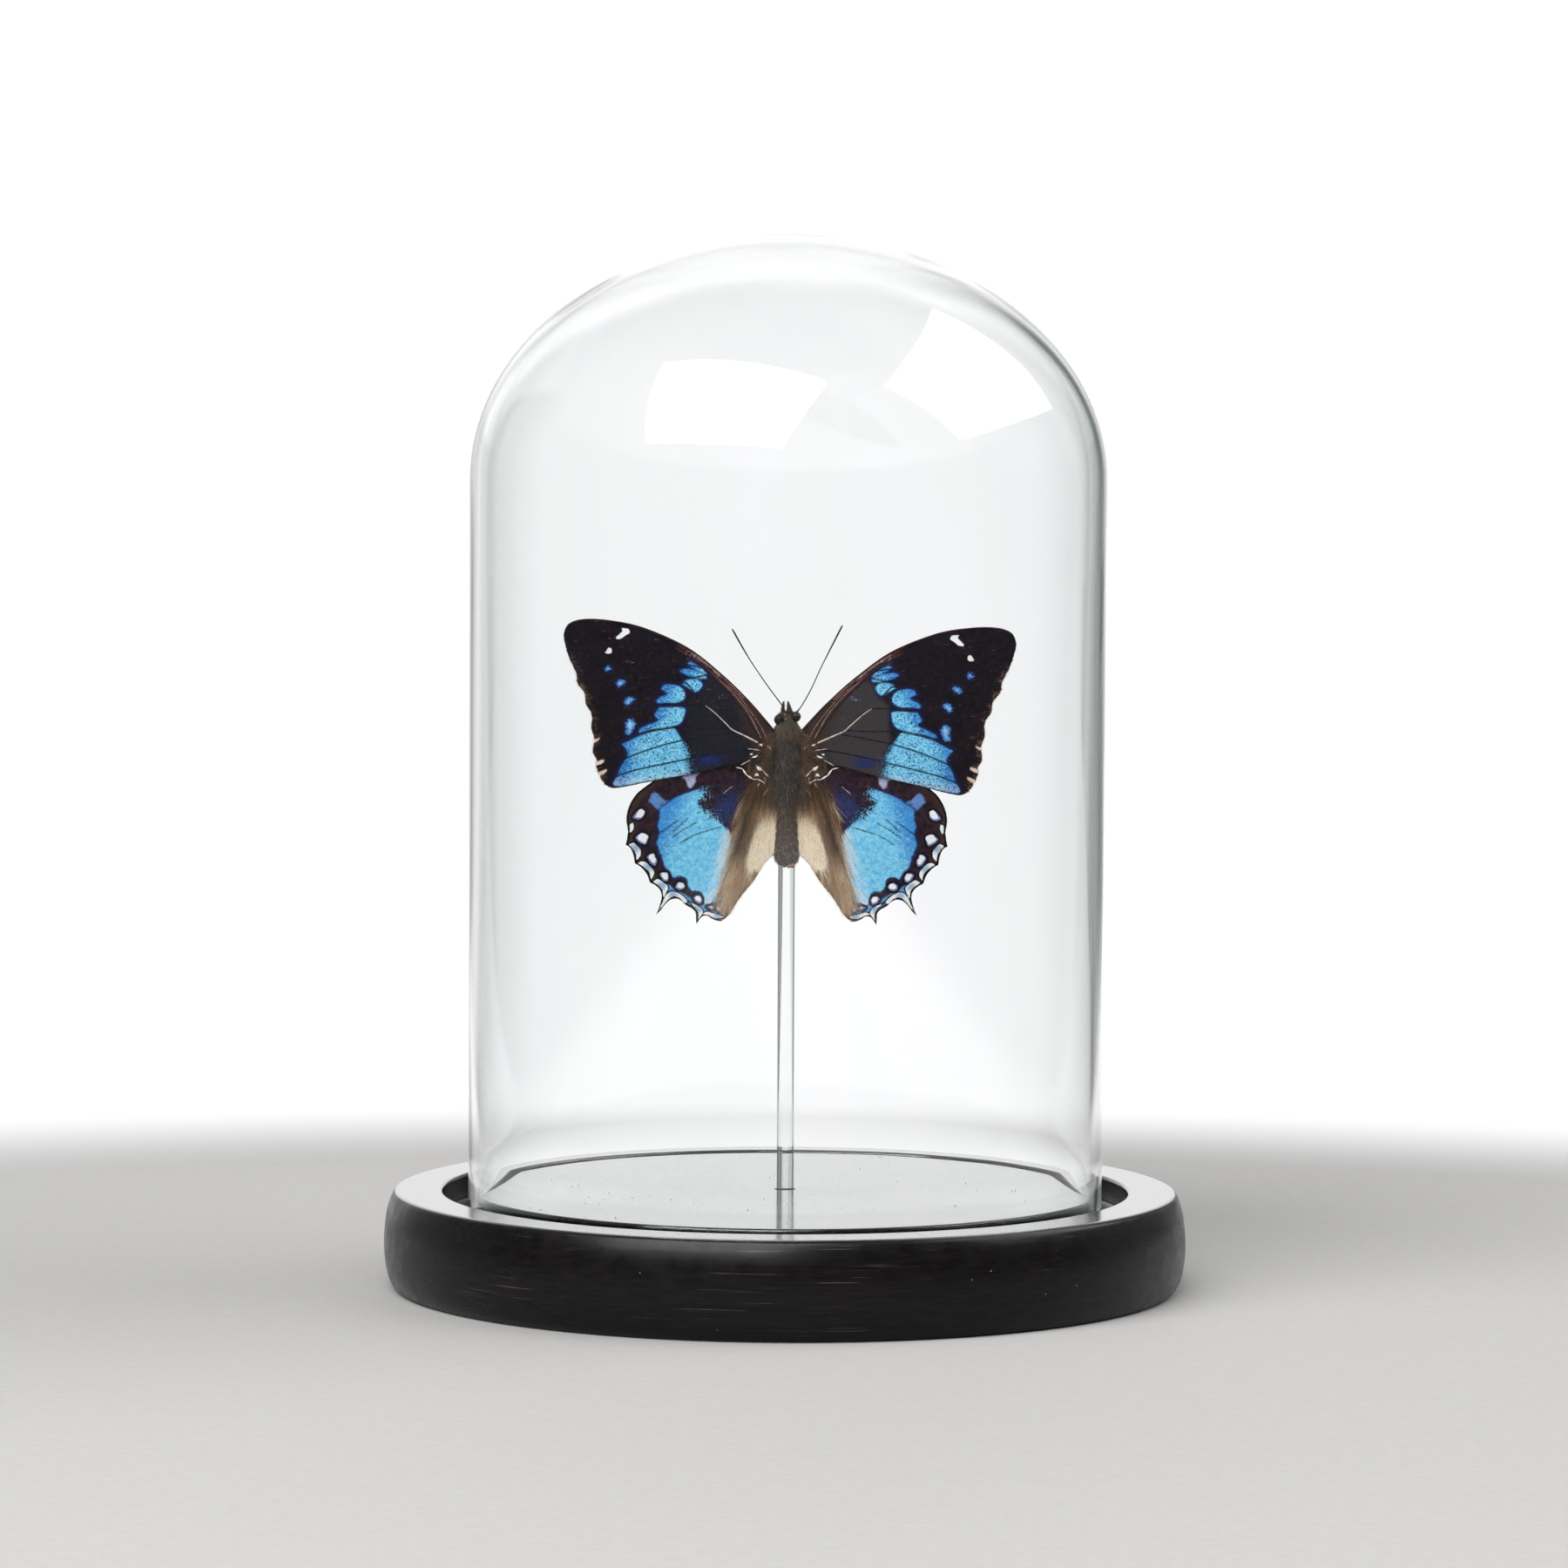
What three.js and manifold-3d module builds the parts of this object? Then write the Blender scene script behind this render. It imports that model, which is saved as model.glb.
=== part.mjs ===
// A mounted swallow-tailed charaxes butterfly on a clear rod, under a glass bell dome
// that stands in the groove of a turned and painted wooden base.
// Millimetres, +Z up. The origin is the centre of the base's underside, and the
// insect's upper side faces -Y.
import * as THREE from "three";
import { mergeVertices } from "three/addons/utils/BufferGeometryUtils.js";
import Module from "manifold-3d";

const wasm = await Module();
wasm.setup();

// ---- Driving dimensions ----

// Base
const BASE_HEIGHT = 18.2;
// The bulged side, from the underside to the upper edge: radius, height.
const BASE_SIDE = [[73.4, 0], [74.8, 1.4], [75.5, 6], [75.2, 12], [74.1, 17.2], [73.4, BASE_HEIGHT]];
const BASE_SIDE_STEPS = 8; // straight lengths between two points of the side
const PLATEAU_RADIUS = 57.2; // raised middle, inside the groove
const GROOVE_OUTER_RADIUS = 64.5;
const GROOVE_DEPTH = 5;
const EDGE_BREAK = 0.4; // small chamfer on turned edges

// Dome
const DOME_RADIUS = 59.7;
const DOME_WALL = 2;
const DOME_EQUATOR = 151.6; // height above the table where the straight wall ends
const DOME_CAP_RISE = 46; // apex above the equator
const DOME_CAP_STEPS = 10;

// Rod
const ROD_RADIUS = 1.6;
const ROD_TOP = 102;
const ROD_HOLE_DEPTH = 10;
const GAP = 0.3; // clearance kept between touching pieces

// Number of flat sides of turned pieces
const LARGE_SIDES = 64;
const SMALL_SIDES = 24;
const THIN_SIDES = 8;

// Glue, as an ellipsoid that the rod and the thorax are taken out of
const GLUE_SIZE = [2.4, 1.7, 3.6];
const GLUE_DEPTH = -2; // middle of the dab, in front of the rod's axis
const GLUE_DROP = 1; // and below the middle of the thorax
const GLUE_CLEARANCE = 0.1;

// Insect
const BODY_HEIGHT = 99; // middle of the thorax above the table
const BODY_DEPTH = -6.2; // body axis in front of the rod's axis
const NECK_HEIGHT = 7; // the thorax ends here, just behind the head, above its own middle
// The thorax is full in the middle and narrows to the neck and the waist: radius, height.
const THORAX_PROFILE = [
  [0, -7.6], [1.7, -7.2], [2.7, -5.6], [3.2, -2.5], [3.3, 1], [3, 4.4], [2.2, 6.4], [0, NECK_HEIGHT],
];
const THORAX_DEPTH_SCALE = 1.1; // the thorax is a little deeper than wide
const ABDOMEN_TOP = -7.9; // relative to the middle of the thorax, as all below
const ABDOMEN_LENGTH = 11.8;
const ABDOMEN_RADIUS = 2.3;
const ABDOMEN_RINGS = 6;
const ABDOMEN_NIP = 0.97; // radius at the joints between rings, as a share of the full one
const TAIL_LENGTH = 1; // blunt end behind the last ring
const TAIL_RADIUS = 1.27;
const HEAD_CENTRE = 8.5;
const HEAD_SIZE = [1.6, 1.5, 1.3];
const EYE_SIZE = [0.81, 0.95, 1.05];
const EYE_CENTRE = [1.6, 0.1]; // out, depth
const PALP_LENGTH = 2.6;
const PALP_RADIUS = 0.42;
const PALP_FOOT = [0.5, 0.4, 0.4]; // out, depth, height from the head's middle
const PALP_LEAN = 3; // degrees out from the body's line
const ANTENNA_LENGTH = 17.8;
const ANTENNA_DEPTH = -0.5;
const ANTENNA_SHAFT_RADIUS = 0.2;
const ANTENNA_CLUB_RADIUS = 0.33;
const ANTENNA_BASE = { left: [1.1, 10.2], right: [2.1, 9.9] }; // out, height
const ANTENNA_LEAN = { left: 33.5, right: 27 }; // degrees out from the body's line
const WING_THICKNESS = 0.4;
const WING_ROOT = 3.2; // from the body's midline to the line the wings turn about
const WING_RISE = 3; // degrees that the wings rise towards the viewer's side
const FOREWING_DEPTH = -1.75; // mid-plane relative to the body axis
const HINDWING_DEPTH = -1.05;
const FOREWING_DROOP = { left: 0, right: 2 }; // degrees that a forewing is set low
const LEG_RADIUS = 0.24;
const LEG_STEPS = 14;

// Wing outlines: distance out from the midline, height from the middle of the thorax.
const FOREWING = {
  root: [[3.3, 1.6], [3.3, 5.6]],
  costa: [[4, 7.6], [7.1, 11.1], [12, 16.1], [18.6, 21.4], [26.7, 25.1], [33.2, 26.5], [38, 26.7]],
  apex: [[40.6, 25.9], [41.6, 24], [41.3, 21.8]],
  margin: [
    [40.5, 19.2], [39.3, 16.6], [39.1, 14.8], [37.9, 13.2], [37.5, 10.9], [36.4, 8.8],
    [36.5, 6.4], [36.1, 4], [36.3, 2], [35.6, 0], [34.9, -2.5], [33.9, -4.1],
  ],
  hind: [[32.4, -4.7], [29.8, -4.4], [23.3, -3], [16.3, -1.8], [10.3, -0.4], [6.2, 0.7]],
};
const HINDWING = {
  costa: [[3.3, -0.8], [10, 1.2], [17, 0.9], [22.5, -1.7], [27.7, -5.5], [29.7, -9.4]],
  margin: [
    [30, -12], [30, -15.4], [28.5, -16.9], [28.3, -18.8], [26, -20.6], [25.5, -22.4],
    [24.2, -23.1], [23.3, -24.9], [24.3, -28.4], [22.7, -26.5], [21, -25.3], [18.8, -26.6],
    [17, -27.7], [16.8, -30.2], [15.3, -28.6], [13.9, -29.1],
  ],
  inner: [[12.4, -29.6], [10.7, -28.4], [8.6, -25.1], [6.2, -22.1], [4.2, -18.9]],
  fold: [[2.8, -17], [2.7, -10.2], [3.3, -6.6]],
};

// Folded legs of the left side, in the insect's frame: out, depth, height.
const LEGS = {
  middle: [[2.2, 2.9, 2.2], [3.9, 3.9, 4.6], [5, 4.1, 2.2], [3.6, 4.3, -2.2], [2.7, 4.4, -4.6]],
  hind: [[2.4, 2.6, -1.8], [4.5, 3, -0.6], [5.8, 3.2, -3.4], [4.3, 3.3, -7.2], [3.4, 3.3, -9.4]],
};

// ---- Materials ----

const material = (color, roughness, metalness = 0, opacity = 1) =>
  new THREE.MeshStandardMaterial({
    color,
    roughness,
    metalness,
    opacity,
    transparent: opacity < 1,
  });

const MATERIALS = {
  paint: material(0x1b1a1a, 0.38),
  glass: material(0xeef4f0, 0.03, 0, 0.3),
  rod: material(0xe9efe6, 0.05, 0, 0.4),
  glue: material(0xf2f1ea, 0.15, 0, 0.6),
  forewing: material(0x1a1520, 0.8),
  hindwing: material(0x62aedd, 0.7),
  body: material(0x3f3832, 0.95),
  antenna: material(0x2a2624, 0.6),
  leg: material(0x6a5a48, 0.8),
};

// ---- Helpers ----

const points = (pairs) => pairs.map(([x, y]) => new THREE.Vector2(x, y));

// A profile of radius and height, turned about Z.
function turned(profile, segments) {
  return new THREE.LatheGeometry(profile, segments).rotateX(Math.PI / 2);
}

// A closed three.js geometry as a manifold solid, and back.
function toSolid(geometry) {
  const bare = geometry.clone();
  bare.deleteAttribute("normal");
  bare.deleteAttribute("uv");
  const merged = mergeVertices(bare, 1e-4);
  return new wasm.Manifold(
    new wasm.Mesh({
      numProp: 3,
      vertProperties: new Float32Array(merged.attributes.position.array),
      triVerts: new Uint32Array(merged.index.array),
    }),
  );
}

function toGeometry(solid) {
  const mesh = solid.getMesh();
  const geometry = new THREE.BufferGeometry();
  geometry.setAttribute("position", new THREE.BufferAttribute(mesh.vertProperties, 3));
  geometry.setIndex(new THREE.BufferAttribute(mesh.triVerts, 1));
  geometry.computeVertexNormals();
  return geometry;
}

function ellipsoid([width, depth, height], across, along) {
  return new THREE.SphereGeometry(1, across, along)
    .rotateX(Math.PI / 2)
    .scale(width, depth, height);
}

function addMesh(parent, name, geometry, finish) {
  const mesh = new THREE.Mesh(geometry, finish);
  mesh.name = name;
  parent.add(mesh);
  return mesh;
}

// ---- Base: one turned piece with the groove for the dome and the hole for the rod ----

function baseGeometry() {
  const side = new THREE.SplineCurve(points(BASE_SIDE)).getPoints(BASE_SIDE_STEPS);
  const grooveFloor = BASE_HEIGHT - GROOVE_DEPTH;
  const holeRadius = ROD_RADIUS + GAP;
  return turned(
    [
      new THREE.Vector2(0, 0),
      ...side,
      ...points([
        [GROOVE_OUTER_RADIUS + EDGE_BREAK, BASE_HEIGHT],
        [GROOVE_OUTER_RADIUS, BASE_HEIGHT - EDGE_BREAK],
        [GROOVE_OUTER_RADIUS, grooveFloor],
        [PLATEAU_RADIUS, grooveFloor],
        [PLATEAU_RADIUS, BASE_HEIGHT - EDGE_BREAK],
        [PLATEAU_RADIUS - EDGE_BREAK, BASE_HEIGHT],
        [holeRadius, BASE_HEIGHT],
        [holeRadius, BASE_HEIGHT - ROD_HOLE_DEPTH],
        [0, BASE_HEIGHT - ROD_HOLE_DEPTH],
      ]),
    ],
    LARGE_SIDES,
  );
}

// ---- Dome: straight wall and elliptical cap, one wall thickness, open below ----

function domeGeometry() {
  const foot = BASE_HEIGHT - GROOVE_DEPTH;
  const innerRadius = DOME_RADIUS - DOME_WALL;
  const cap = (radius, rise, step) => {
    const angle = (step / DOME_CAP_STEPS) * (Math.PI / 2);
    const onAxis = step === DOME_CAP_STEPS;
    return new THREE.Vector2(
      onAxis ? 0 : radius * Math.cos(angle),
      DOME_EQUATOR + rise * Math.sin(angle),
    );
  };
  const profile = [];
  for (let step = DOME_CAP_STEPS; step >= 0; step--)
    profile.push(cap(innerRadius, DOME_CAP_RISE - DOME_WALL, step));
  profile.push(
    ...points([
      [innerRadius, foot + EDGE_BREAK],
      [innerRadius + EDGE_BREAK, foot],
      [DOME_RADIUS - EDGE_BREAK, foot],
      [DOME_RADIUS, foot + EDGE_BREAK],
    ]),
  );
  for (let step = 0; step <= DOME_CAP_STEPS; step++)
    profile.push(cap(DOME_RADIUS, DOME_CAP_RISE, step));
  return turned(profile, LARGE_SIDES);
}

// ---- Rod, and the dab of clear glue that holds the insect to it ----

function rodGeometry() {
  return turned(
    points([
      [0, BASE_HEIGHT - ROD_HOLE_DEPTH],
      [ROD_RADIUS, BASE_HEIGHT - ROD_HOLE_DEPTH],
      [ROD_RADIUS, ROD_TOP - EDGE_BREAK],
      [ROD_RADIUS - EDGE_BREAK, ROD_TOP],
      [0, ROD_TOP],
    ]),
    SMALL_SIDES,
  );
}

function glueGeometry() {
  const dab = ellipsoid(GLUE_SIZE, 16, 10).translate(0, GLUE_DEPTH, BODY_HEIGHT - GLUE_DROP);
  const roomRadius = ROD_RADIUS + GLUE_CLEARANCE;
  const roomTop = 2 * ROD_TOP;
  const rodRoom = turned(
    points([
      [0, 0],
      [roomRadius, 0],
      [roomRadius, roomTop],
      [0, roomTop],
    ]),
    SMALL_SIDES,
  );
  const thoraxRoom = thoraxGeometry(GLUE_CLEARANCE).translate(0, BODY_DEPTH, BODY_HEIGHT);
  return toGeometry(toSolid(dab).subtract(toSolid(rodRoom)).subtract(toSolid(thoraxRoom)));
}

// ---- Insect ----

// The thorax's skin can be let out, to leave room round it.
function thoraxGeometry(letOut = 0) {
  const skin = THORAX_PROFILE.map(([radius, height]) => [radius && radius + letOut, height]);
  return turned(points(skin), SMALL_SIDES).scale(1, THORAX_DEPTH_SCALE, 1);
}

function abdomenGeometry() {
  // Rings of one width with the joints between them nipped in, and a blunt tail end.
  const ringLength = (ABDOMEN_LENGTH - TAIL_LENGTH) / ABDOMEN_RINGS;
  const profile = [
    [0, -ABDOMEN_LENGTH],
    [TAIL_RADIUS, 0.35 * TAIL_LENGTH - ABDOMEN_LENGTH],
  ];
  for (let ring = 0; ring < ABDOMEN_RINGS; ring++) {
    const middle = (ring + 0.5 - ABDOMEN_RINGS) * ringLength;
    profile.push([ABDOMEN_RADIUS, middle]);
    profile.push([ABDOMEN_RADIUS * ABDOMEN_NIP, middle + ringLength / 2]);
  }
  profile.push([0, 0]);
  return turned(points(profile), 20);
}

function headGeometry() {
  let head = toSolid(ellipsoid(HEAD_SIZE, 16, 10));
  for (const side of [-1, 1]) {
    const [eyeOut, eyeDepth] = EYE_CENTRE;
    const eye = ellipsoid(EYE_SIZE, 12, 8).translate(side * eyeOut, eyeDepth, 0);
    head = head.add(toSolid(eye));
    const palp = turned(
      points([
        [0, 0],
        [PALP_RADIUS * 0.8, 0.2],
        [PALP_RADIUS, PALP_LENGTH * 0.4],
        [0, PALP_LENGTH],
      ]),
      10,
    ).rotateY(THREE.MathUtils.degToRad(side * PALP_LEAN));
    const [palpOut, palpDepth, palpHeight] = PALP_FOOT;
    head = head.add(toSolid(palp.translate(side * palpOut, palpDepth, palpHeight)));
  }
  return toGeometry(head);
}

function antennaGeometry() {
  // A thin shaft that thickens into a long slender club.
  return turned(
    points([
      [0, 0],
      [ANTENNA_SHAFT_RADIUS, 0.1],
      [ANTENNA_SHAFT_RADIUS, ANTENNA_LENGTH * 0.62],
      [ANTENNA_CLUB_RADIUS, ANTENNA_LENGTH * 0.85],
      [ANTENNA_CLUB_RADIUS, ANTENNA_LENGTH * 0.96],
      [0, ANTENNA_LENGTH],
    ]),
    THIN_SIDES,
  );
}

// A wing blade: the outline extruded to the wing's thickness, in the XZ plane,
// measured out from the line it turns about.
function bladeGeometry(outline, side) {
  const shape = new THREE.Shape();
  outline(shape);
  const blade = new THREE.ExtrudeGeometry(shape, {
    depth: WING_THICKNESS,
    bevelEnabled: false,
    curveSegments: 2,
  }).translate(-WING_ROOT, 0, -WING_THICKNESS / 2);
  if (side > 0) return blade.rotateX(Math.PI / 2);
  return toGeometry(toSolid(blade.rotateX(Math.PI / 2)).mirror([1, 0, 0]));
}

function forewingOutline(shape) {
  shape.moveTo(...FOREWING.root[0]);
  shape.lineTo(...FOREWING.root[1]);
  shape.splineThru(points([...FOREWING.costa, ...FOREWING.apex]));
  FOREWING.margin.forEach((point) => shape.lineTo(...point));
  shape.splineThru(points(FOREWING.hind));
  shape.closePath();
}

function hindwingOutline(shape) {
  shape.moveTo(...HINDWING.costa[0]);
  shape.splineThru(points(HINDWING.costa.slice(1)));
  HINDWING.margin.forEach((point) => shape.lineTo(...point));
  shape.splineThru(points(HINDWING.inner));
  HINDWING.fold.forEach((point) => shape.lineTo(...point));
  shape.closePath();
}

function legGeometry(path, side) {
  const curve = new THREE.CatmullRomCurve3(
    path.map(([out, depth, height]) => new THREE.Vector3(side * out, depth, height)),
  );
  const section = new THREE.Shape().absarc(0, 0, LEG_RADIUS, 0, 2 * Math.PI);
  return new THREE.ExtrudeGeometry(section, {
    extrudePath: curve,
    steps: LEG_STEPS,
    curveSegments: 3,
    bevelEnabled: false,
  });
}

function addWing(insect, name, outline, side, depth, droop, finish) {
  const hinge = new THREE.Group();
  hinge.position.set(side * WING_ROOT, depth, 0);
  hinge.rotation.z = THREE.MathUtils.degToRad(-side * WING_RISE);
  insect.add(hinge);
  const wing = addMesh(hinge, name, bladeGeometry(outline, side), finish);
  wing.rotation.y = THREE.MathUtils.degToRad(side * droop);
}

function buildInsect() {
  const insect = new THREE.Group();
  insect.position.set(0, BODY_DEPTH, BODY_HEIGHT);
  addMesh(insect, "thorax", thoraxGeometry(), MATERIALS.body);
  const abdomen = addMesh(insect, "abdomen", abdomenGeometry(), MATERIALS.body);
  abdomen.position.z = ABDOMEN_TOP;
  const head = addMesh(insect, "head", headGeometry(), MATERIALS.body);
  head.position.z = HEAD_CENTRE;
  for (const [label, side] of [["left", -1], ["right", 1]]) {
    const antenna = addMesh(insect, "antenna_" + label, antennaGeometry(), MATERIALS.antenna);
    const [out, height] = ANTENNA_BASE[label];
    antenna.position.set(side * out, ANTENNA_DEPTH, height);
    antenna.rotation.y = THREE.MathUtils.degToRad(side * ANTENNA_LEAN[label]);
    const droop = FOREWING_DROOP[label];
    addWing(
      insect,
      "forewing_" + label,
      forewingOutline,
      side,
      FOREWING_DEPTH,
      droop,
      MATERIALS.forewing,
    );
    addWing(
      insect,
      "hindwing_" + label,
      hindwingOutline,
      side,
      HINDWING_DEPTH,
      0,
      MATERIALS.hindwing,
    );
    for (const [pair, path] of Object.entries(LEGS))
      addMesh(insect, pair + "_leg_" + label, legGeometry(path, side), MATERIALS.leg);
  }
  return insect;
}

// ---- Whole object ----

const object = new THREE.Group();
addMesh(object, "base", baseGeometry(), MATERIALS.paint);
addMesh(object, "glass_dome", domeGeometry(), MATERIALS.glass);
addMesh(object, "support_rod", rodGeometry(), MATERIALS.rod);
addMesh(object, "glue_dab", glueGeometry(), MATERIALS.glue);
object.add(buildInsect());

export default object;
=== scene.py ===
"""Looks of a butterfly in a glass dome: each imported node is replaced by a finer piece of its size."""
import math

import bpy
import numpy as np
from mathutils import Matrix, Vector
from mathutils.geometry import delaunay_2d_cdt


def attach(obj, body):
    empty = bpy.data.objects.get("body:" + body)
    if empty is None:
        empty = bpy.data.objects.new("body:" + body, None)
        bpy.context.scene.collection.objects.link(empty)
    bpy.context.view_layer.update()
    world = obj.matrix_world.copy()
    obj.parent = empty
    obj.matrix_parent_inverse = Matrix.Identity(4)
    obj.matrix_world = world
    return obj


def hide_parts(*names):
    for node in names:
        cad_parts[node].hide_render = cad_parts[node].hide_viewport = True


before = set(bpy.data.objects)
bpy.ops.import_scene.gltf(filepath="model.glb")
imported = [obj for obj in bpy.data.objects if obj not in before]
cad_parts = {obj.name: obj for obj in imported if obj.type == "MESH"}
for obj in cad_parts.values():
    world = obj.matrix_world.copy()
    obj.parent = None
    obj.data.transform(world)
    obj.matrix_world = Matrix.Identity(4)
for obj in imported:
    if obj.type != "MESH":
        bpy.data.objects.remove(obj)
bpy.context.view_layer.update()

# Lengths below are millimetres until a mesh is made.
MM = 0.001

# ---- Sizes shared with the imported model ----

BASE_HEIGHT = 18.2
UNDERSIDE_RADIUS = 73.2
TOP_EDGE_RADIUS = 73.6
BASE_SIDE = [(73.9, 0.7), (74.7, 2.2), (75.3, 5), (75.5, 8.5), (75.3, 12), (74.9, 14.6), (74.3, 16.6)]
PLATEAU_RADIUS = 57.2
GROOVE_RADIUS = 64.5
GROOVE_FLOOR = 13.2
HOLE_RADIUS = 1.9
HOLE_FLOOR = 8.2
DOME_RADIUS = 59.7
DOME_WALL = 2
DOME_EQUATOR = 151.6
DOME_RISE = 46
ROD_RADIUS = 1.6
ROD_TOP = 102
BODY = np.array([0, -6.2, 99])  # middle of the thorax
THORAX_DEPTH = 1.1
# Outlines of the body's skin under its fur: radius, height.
THORAX_SKIN = [
    (0, -7.8), (1.5, -7.5), (2.3, -6.4), (2.75, -4), (2.9, 0), (2.75, 3), (2.5, 5), (2.3, 6.4),
    (1.7, 7.5), (0, 8),
]
ABDOMEN_SKIN = [
    (0, -19.5), (0.9, -19.35), (1.7, -18.8), (2.25, -17.9), (2.48, -16.6), (2.42, -15), (2.22, -13),
    (2.12, -10), (2.2, -8), (2, -6.4), (0, -6),
]
ABDOMEN_RING = 1.6
ABDOMEN_DEPTH = 1.06
HEAD = BODY + (0, 0, 8.5)  # middle of the head
ABDOMEN_TOP = -7.9
ABDOMEN_LENGTH = 11.8
WING_ROOT = 3.2
WING_RISE = math.radians(3)
WING_HALF_THICKNESS = 0.08
WING_STEP = 0.23  # spacing of the points of the wing meshes
VEIN_DIP = 0.05  # how far a blade dips between its veins
FOREWING_DEPTH = -1.75  # from the middle of the thorax
HINDWING_DEPTH = -1.05
FOREWING_DROOP = {"left": 0.0, "right": 2.0}  # degrees
# The side of the base outside this radius and below this height has a duller paint than its top.
SIDE_PAINT_RADIUS = 73.3
SIDE_PAINT_TOP = 17.9
# Numbers of sides of the turned pieces.
SMOOTH_SIDES = 256
BODY_SIDES = 48

# ---- Wing outlines and markings: distance out from the midline, height from the thorax's middle ----

FOREWING_ROOT = [(2.4, 0.4), (2.2, 3.4), (2.6, 6.2)]
FOREWING_COSTA = [
    (2.6, 6.2), (4.2, 8.1), (7.1, 11.4), (12, 16.2), (18.6, 21.4), (26.7, 25.1), (33.2, 26.5),
    (38, 26.7), (40.6, 25.9), (41.6, 24), (41.3, 21.8), (40.5, 19.2),
]
FOREWING_MARGIN = [
    (40.5, 19.2), (39.6, 17.3), (39.2, 16.2), (39.1, 14.8), (37.9, 13.2), (37.6, 12.2), (37.5, 10.9),
    (36.5, 9.2), (36.4, 8), (36.5, 6.4), (36, 4.8), (36.1, 3.4), (36.2, 2), (35.5, 0.6), (35.6, -0.5),
    (34.9, -2.5), (33.9, -4.1),
]
FOREWING_HIND = [
    (33.9, -4.1), (32.4, -4.7), (29.8, -4.4), (23.3, -3), (16.3, -1.8), (10.3, -0.4), (6.2, 0.4),
    (2.4, 0.4),
]
HINDWING_COSTA = [
    (2.2, 0.6), (6, 1.5), (10, 1.5), (17, 0.9), (22.5, -1.7), (25.9, -4.1), (27.9, -5.7), (29.3, -7.9),
    (29.9, -10.4), (29.6, -12.8), (30, -15.4),
]
# Each stretch of the scalloped margin runs from one point to the next.
HINDWING_TEETH = [
    [(30, -15.4), (29.2, -15.9), (28.6, -17.1), (28.3, -18.8)],
    [(28.3, -18.8), (27.2, -19.5), (26.1, -20.8), (25.5, -22.4)],
    [(25.5, -22.4), (24.5, -22.9), (23.6, -23.8), (23.3, -25), (23.7, -26.8), (24.3, -28.4)],
    [
        (24.3, -28.4), (23.4, -27.5), (22.6, -26.4), (21.6, -25.6), (20.5, -25.4), (19.5, -25.9),
        (18.8, -26.6),
    ],
    [(18.8, -26.6), (17.7, -27.2), (17, -28), (16.9, -29), (16.8, -30.2)],
    [(16.8, -30.2), (16.1, -29.1), (15.4, -28.6), (14.6, -28.7), (13.9, -29.2)],
    [(13.9, -29.2), (12.6, -29.6), (11.8, -29.4), (10.7, -28.4)],
]
HINDWING_INNER = [
    (10.7, -28.4), (8.6, -25.1), (6.2, -22.1), (4.2, -18.9), (2.4, -17), (1.8, -15.6), (1.7, -10.2),
    (1.8, -5), (2.2, 0.6),
]

FOREWING_PATCHES = [
    [(18.9, 18.5), (18.2, 18.9), (16.9, 18.3), (15.8, 17.5), (15, 16.5), (16.1, 16.9), (17.6, 17.6)],
    [
        (20.2, 17.2), (19.2, 17.6), (17.7, 17.4), (16.3, 16.9), (15.1, 16.2), (15.1, 15.7),
        (16.4, 15.7), (17.9, 16), (19.2, 16.5),
    ],
    [
        (19.7, 14.7), (18.9, 15.5), (17.6, 15.7), (16.4, 15.4), (15.8, 14.6), (16.2, 13.8),
        (17.1, 13.2), (18.2, 13.8),
    ],
    [
        (23.6, 13.7), (23.1, 14.5), (21.8, 14.7), (20.3, 14.4), (19.3, 13.6), (19, 12.4), (19.6, 11.6),
        (20.8, 11.2), (22.6, 11.2), (24.2, 11.1), (24.5, 11.6), (23.7, 12.3), (22.4, 12.9),
    ],
    [
        (23.9, 10.4), (19.5, 10.4), (19, 9.5), (19.5, 7.9), (20.4, 7.1), (22.7, 6.6), (25.3, 6.2),
        (27.6, 5.6), (27.4, 6.4), (25.8, 7.2), (24, 8), (24.8, 8.8), (24.3, 9.8),
    ],
    [
        (31, 3.6), (29.5, 4.3), (27.4, 5.3), (25, 6), (22.5, 6.5), (21, 6.5), (20.1, 5.2), (19.2, 3.6),
        (18.4, 1.7), (18.5, 0), (18.6, -2.1), (24.9, -3.3), (29.8, -4.2), (32.1, -4.4), (32.4, -3.7),
        (31.6, -2.3), (31, -0.8), (30.3, 0.4), (29.7, 1.5), (30, 2.5),
    ],
]
FOREWING_SPOTS = [
    [(34.1, 17.6), (33.6, 18.1), (33, 18.1), (32.8, 17.4), (33.3, 17.1), (34, 17.2)],
    [(32, 14.8), (31.4, 15.4), (30.4, 15.5), (30.2, 15), (30.9, 14.3), (31.7, 14.2)],
    [(30.4, 11.3), (30, 12.1), (29.1, 12.3), (28.4, 11.9), (28.9, 11.3), (29.7, 10.6), (30.2, 10.8)],
    [(30.2, 7.5), (29.5, 8.2), (28.7, 8), (28.2, 7.2), (28.7, 6.1), (29.2, 5.2), (30.2, 5.4), (30, 6.4)],
]
FOREWING_WHITE = [
    [
        (32, 23.4), (31.2, 24.1), (30.7, 24.6), (31, 25.1), (29.6, 24.9), (29.4, 24.2), (30.1, 23.8),
        (31.1, 23.1), (31.9, 23.1),
    ],
    [(34, 20.5), (33.6, 21.1), (33.2, 21.5), (32.8, 21.3), (32.8, 20.5), (33.5, 20.3)],
]
FOREWING_DASHES = [
    [(36.3, 3.6), (36.3, 4.2), (34.9, 4.6), (35.3, 4.1)],
    [(35.7, -0.6), (35.7, 0.1), (34.1, 0.6), (34.3, 0)],
    [(35, -2.5), (35.1, -1.8), (33.6, -1.2), (33.8, -1.8)],
]
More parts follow.
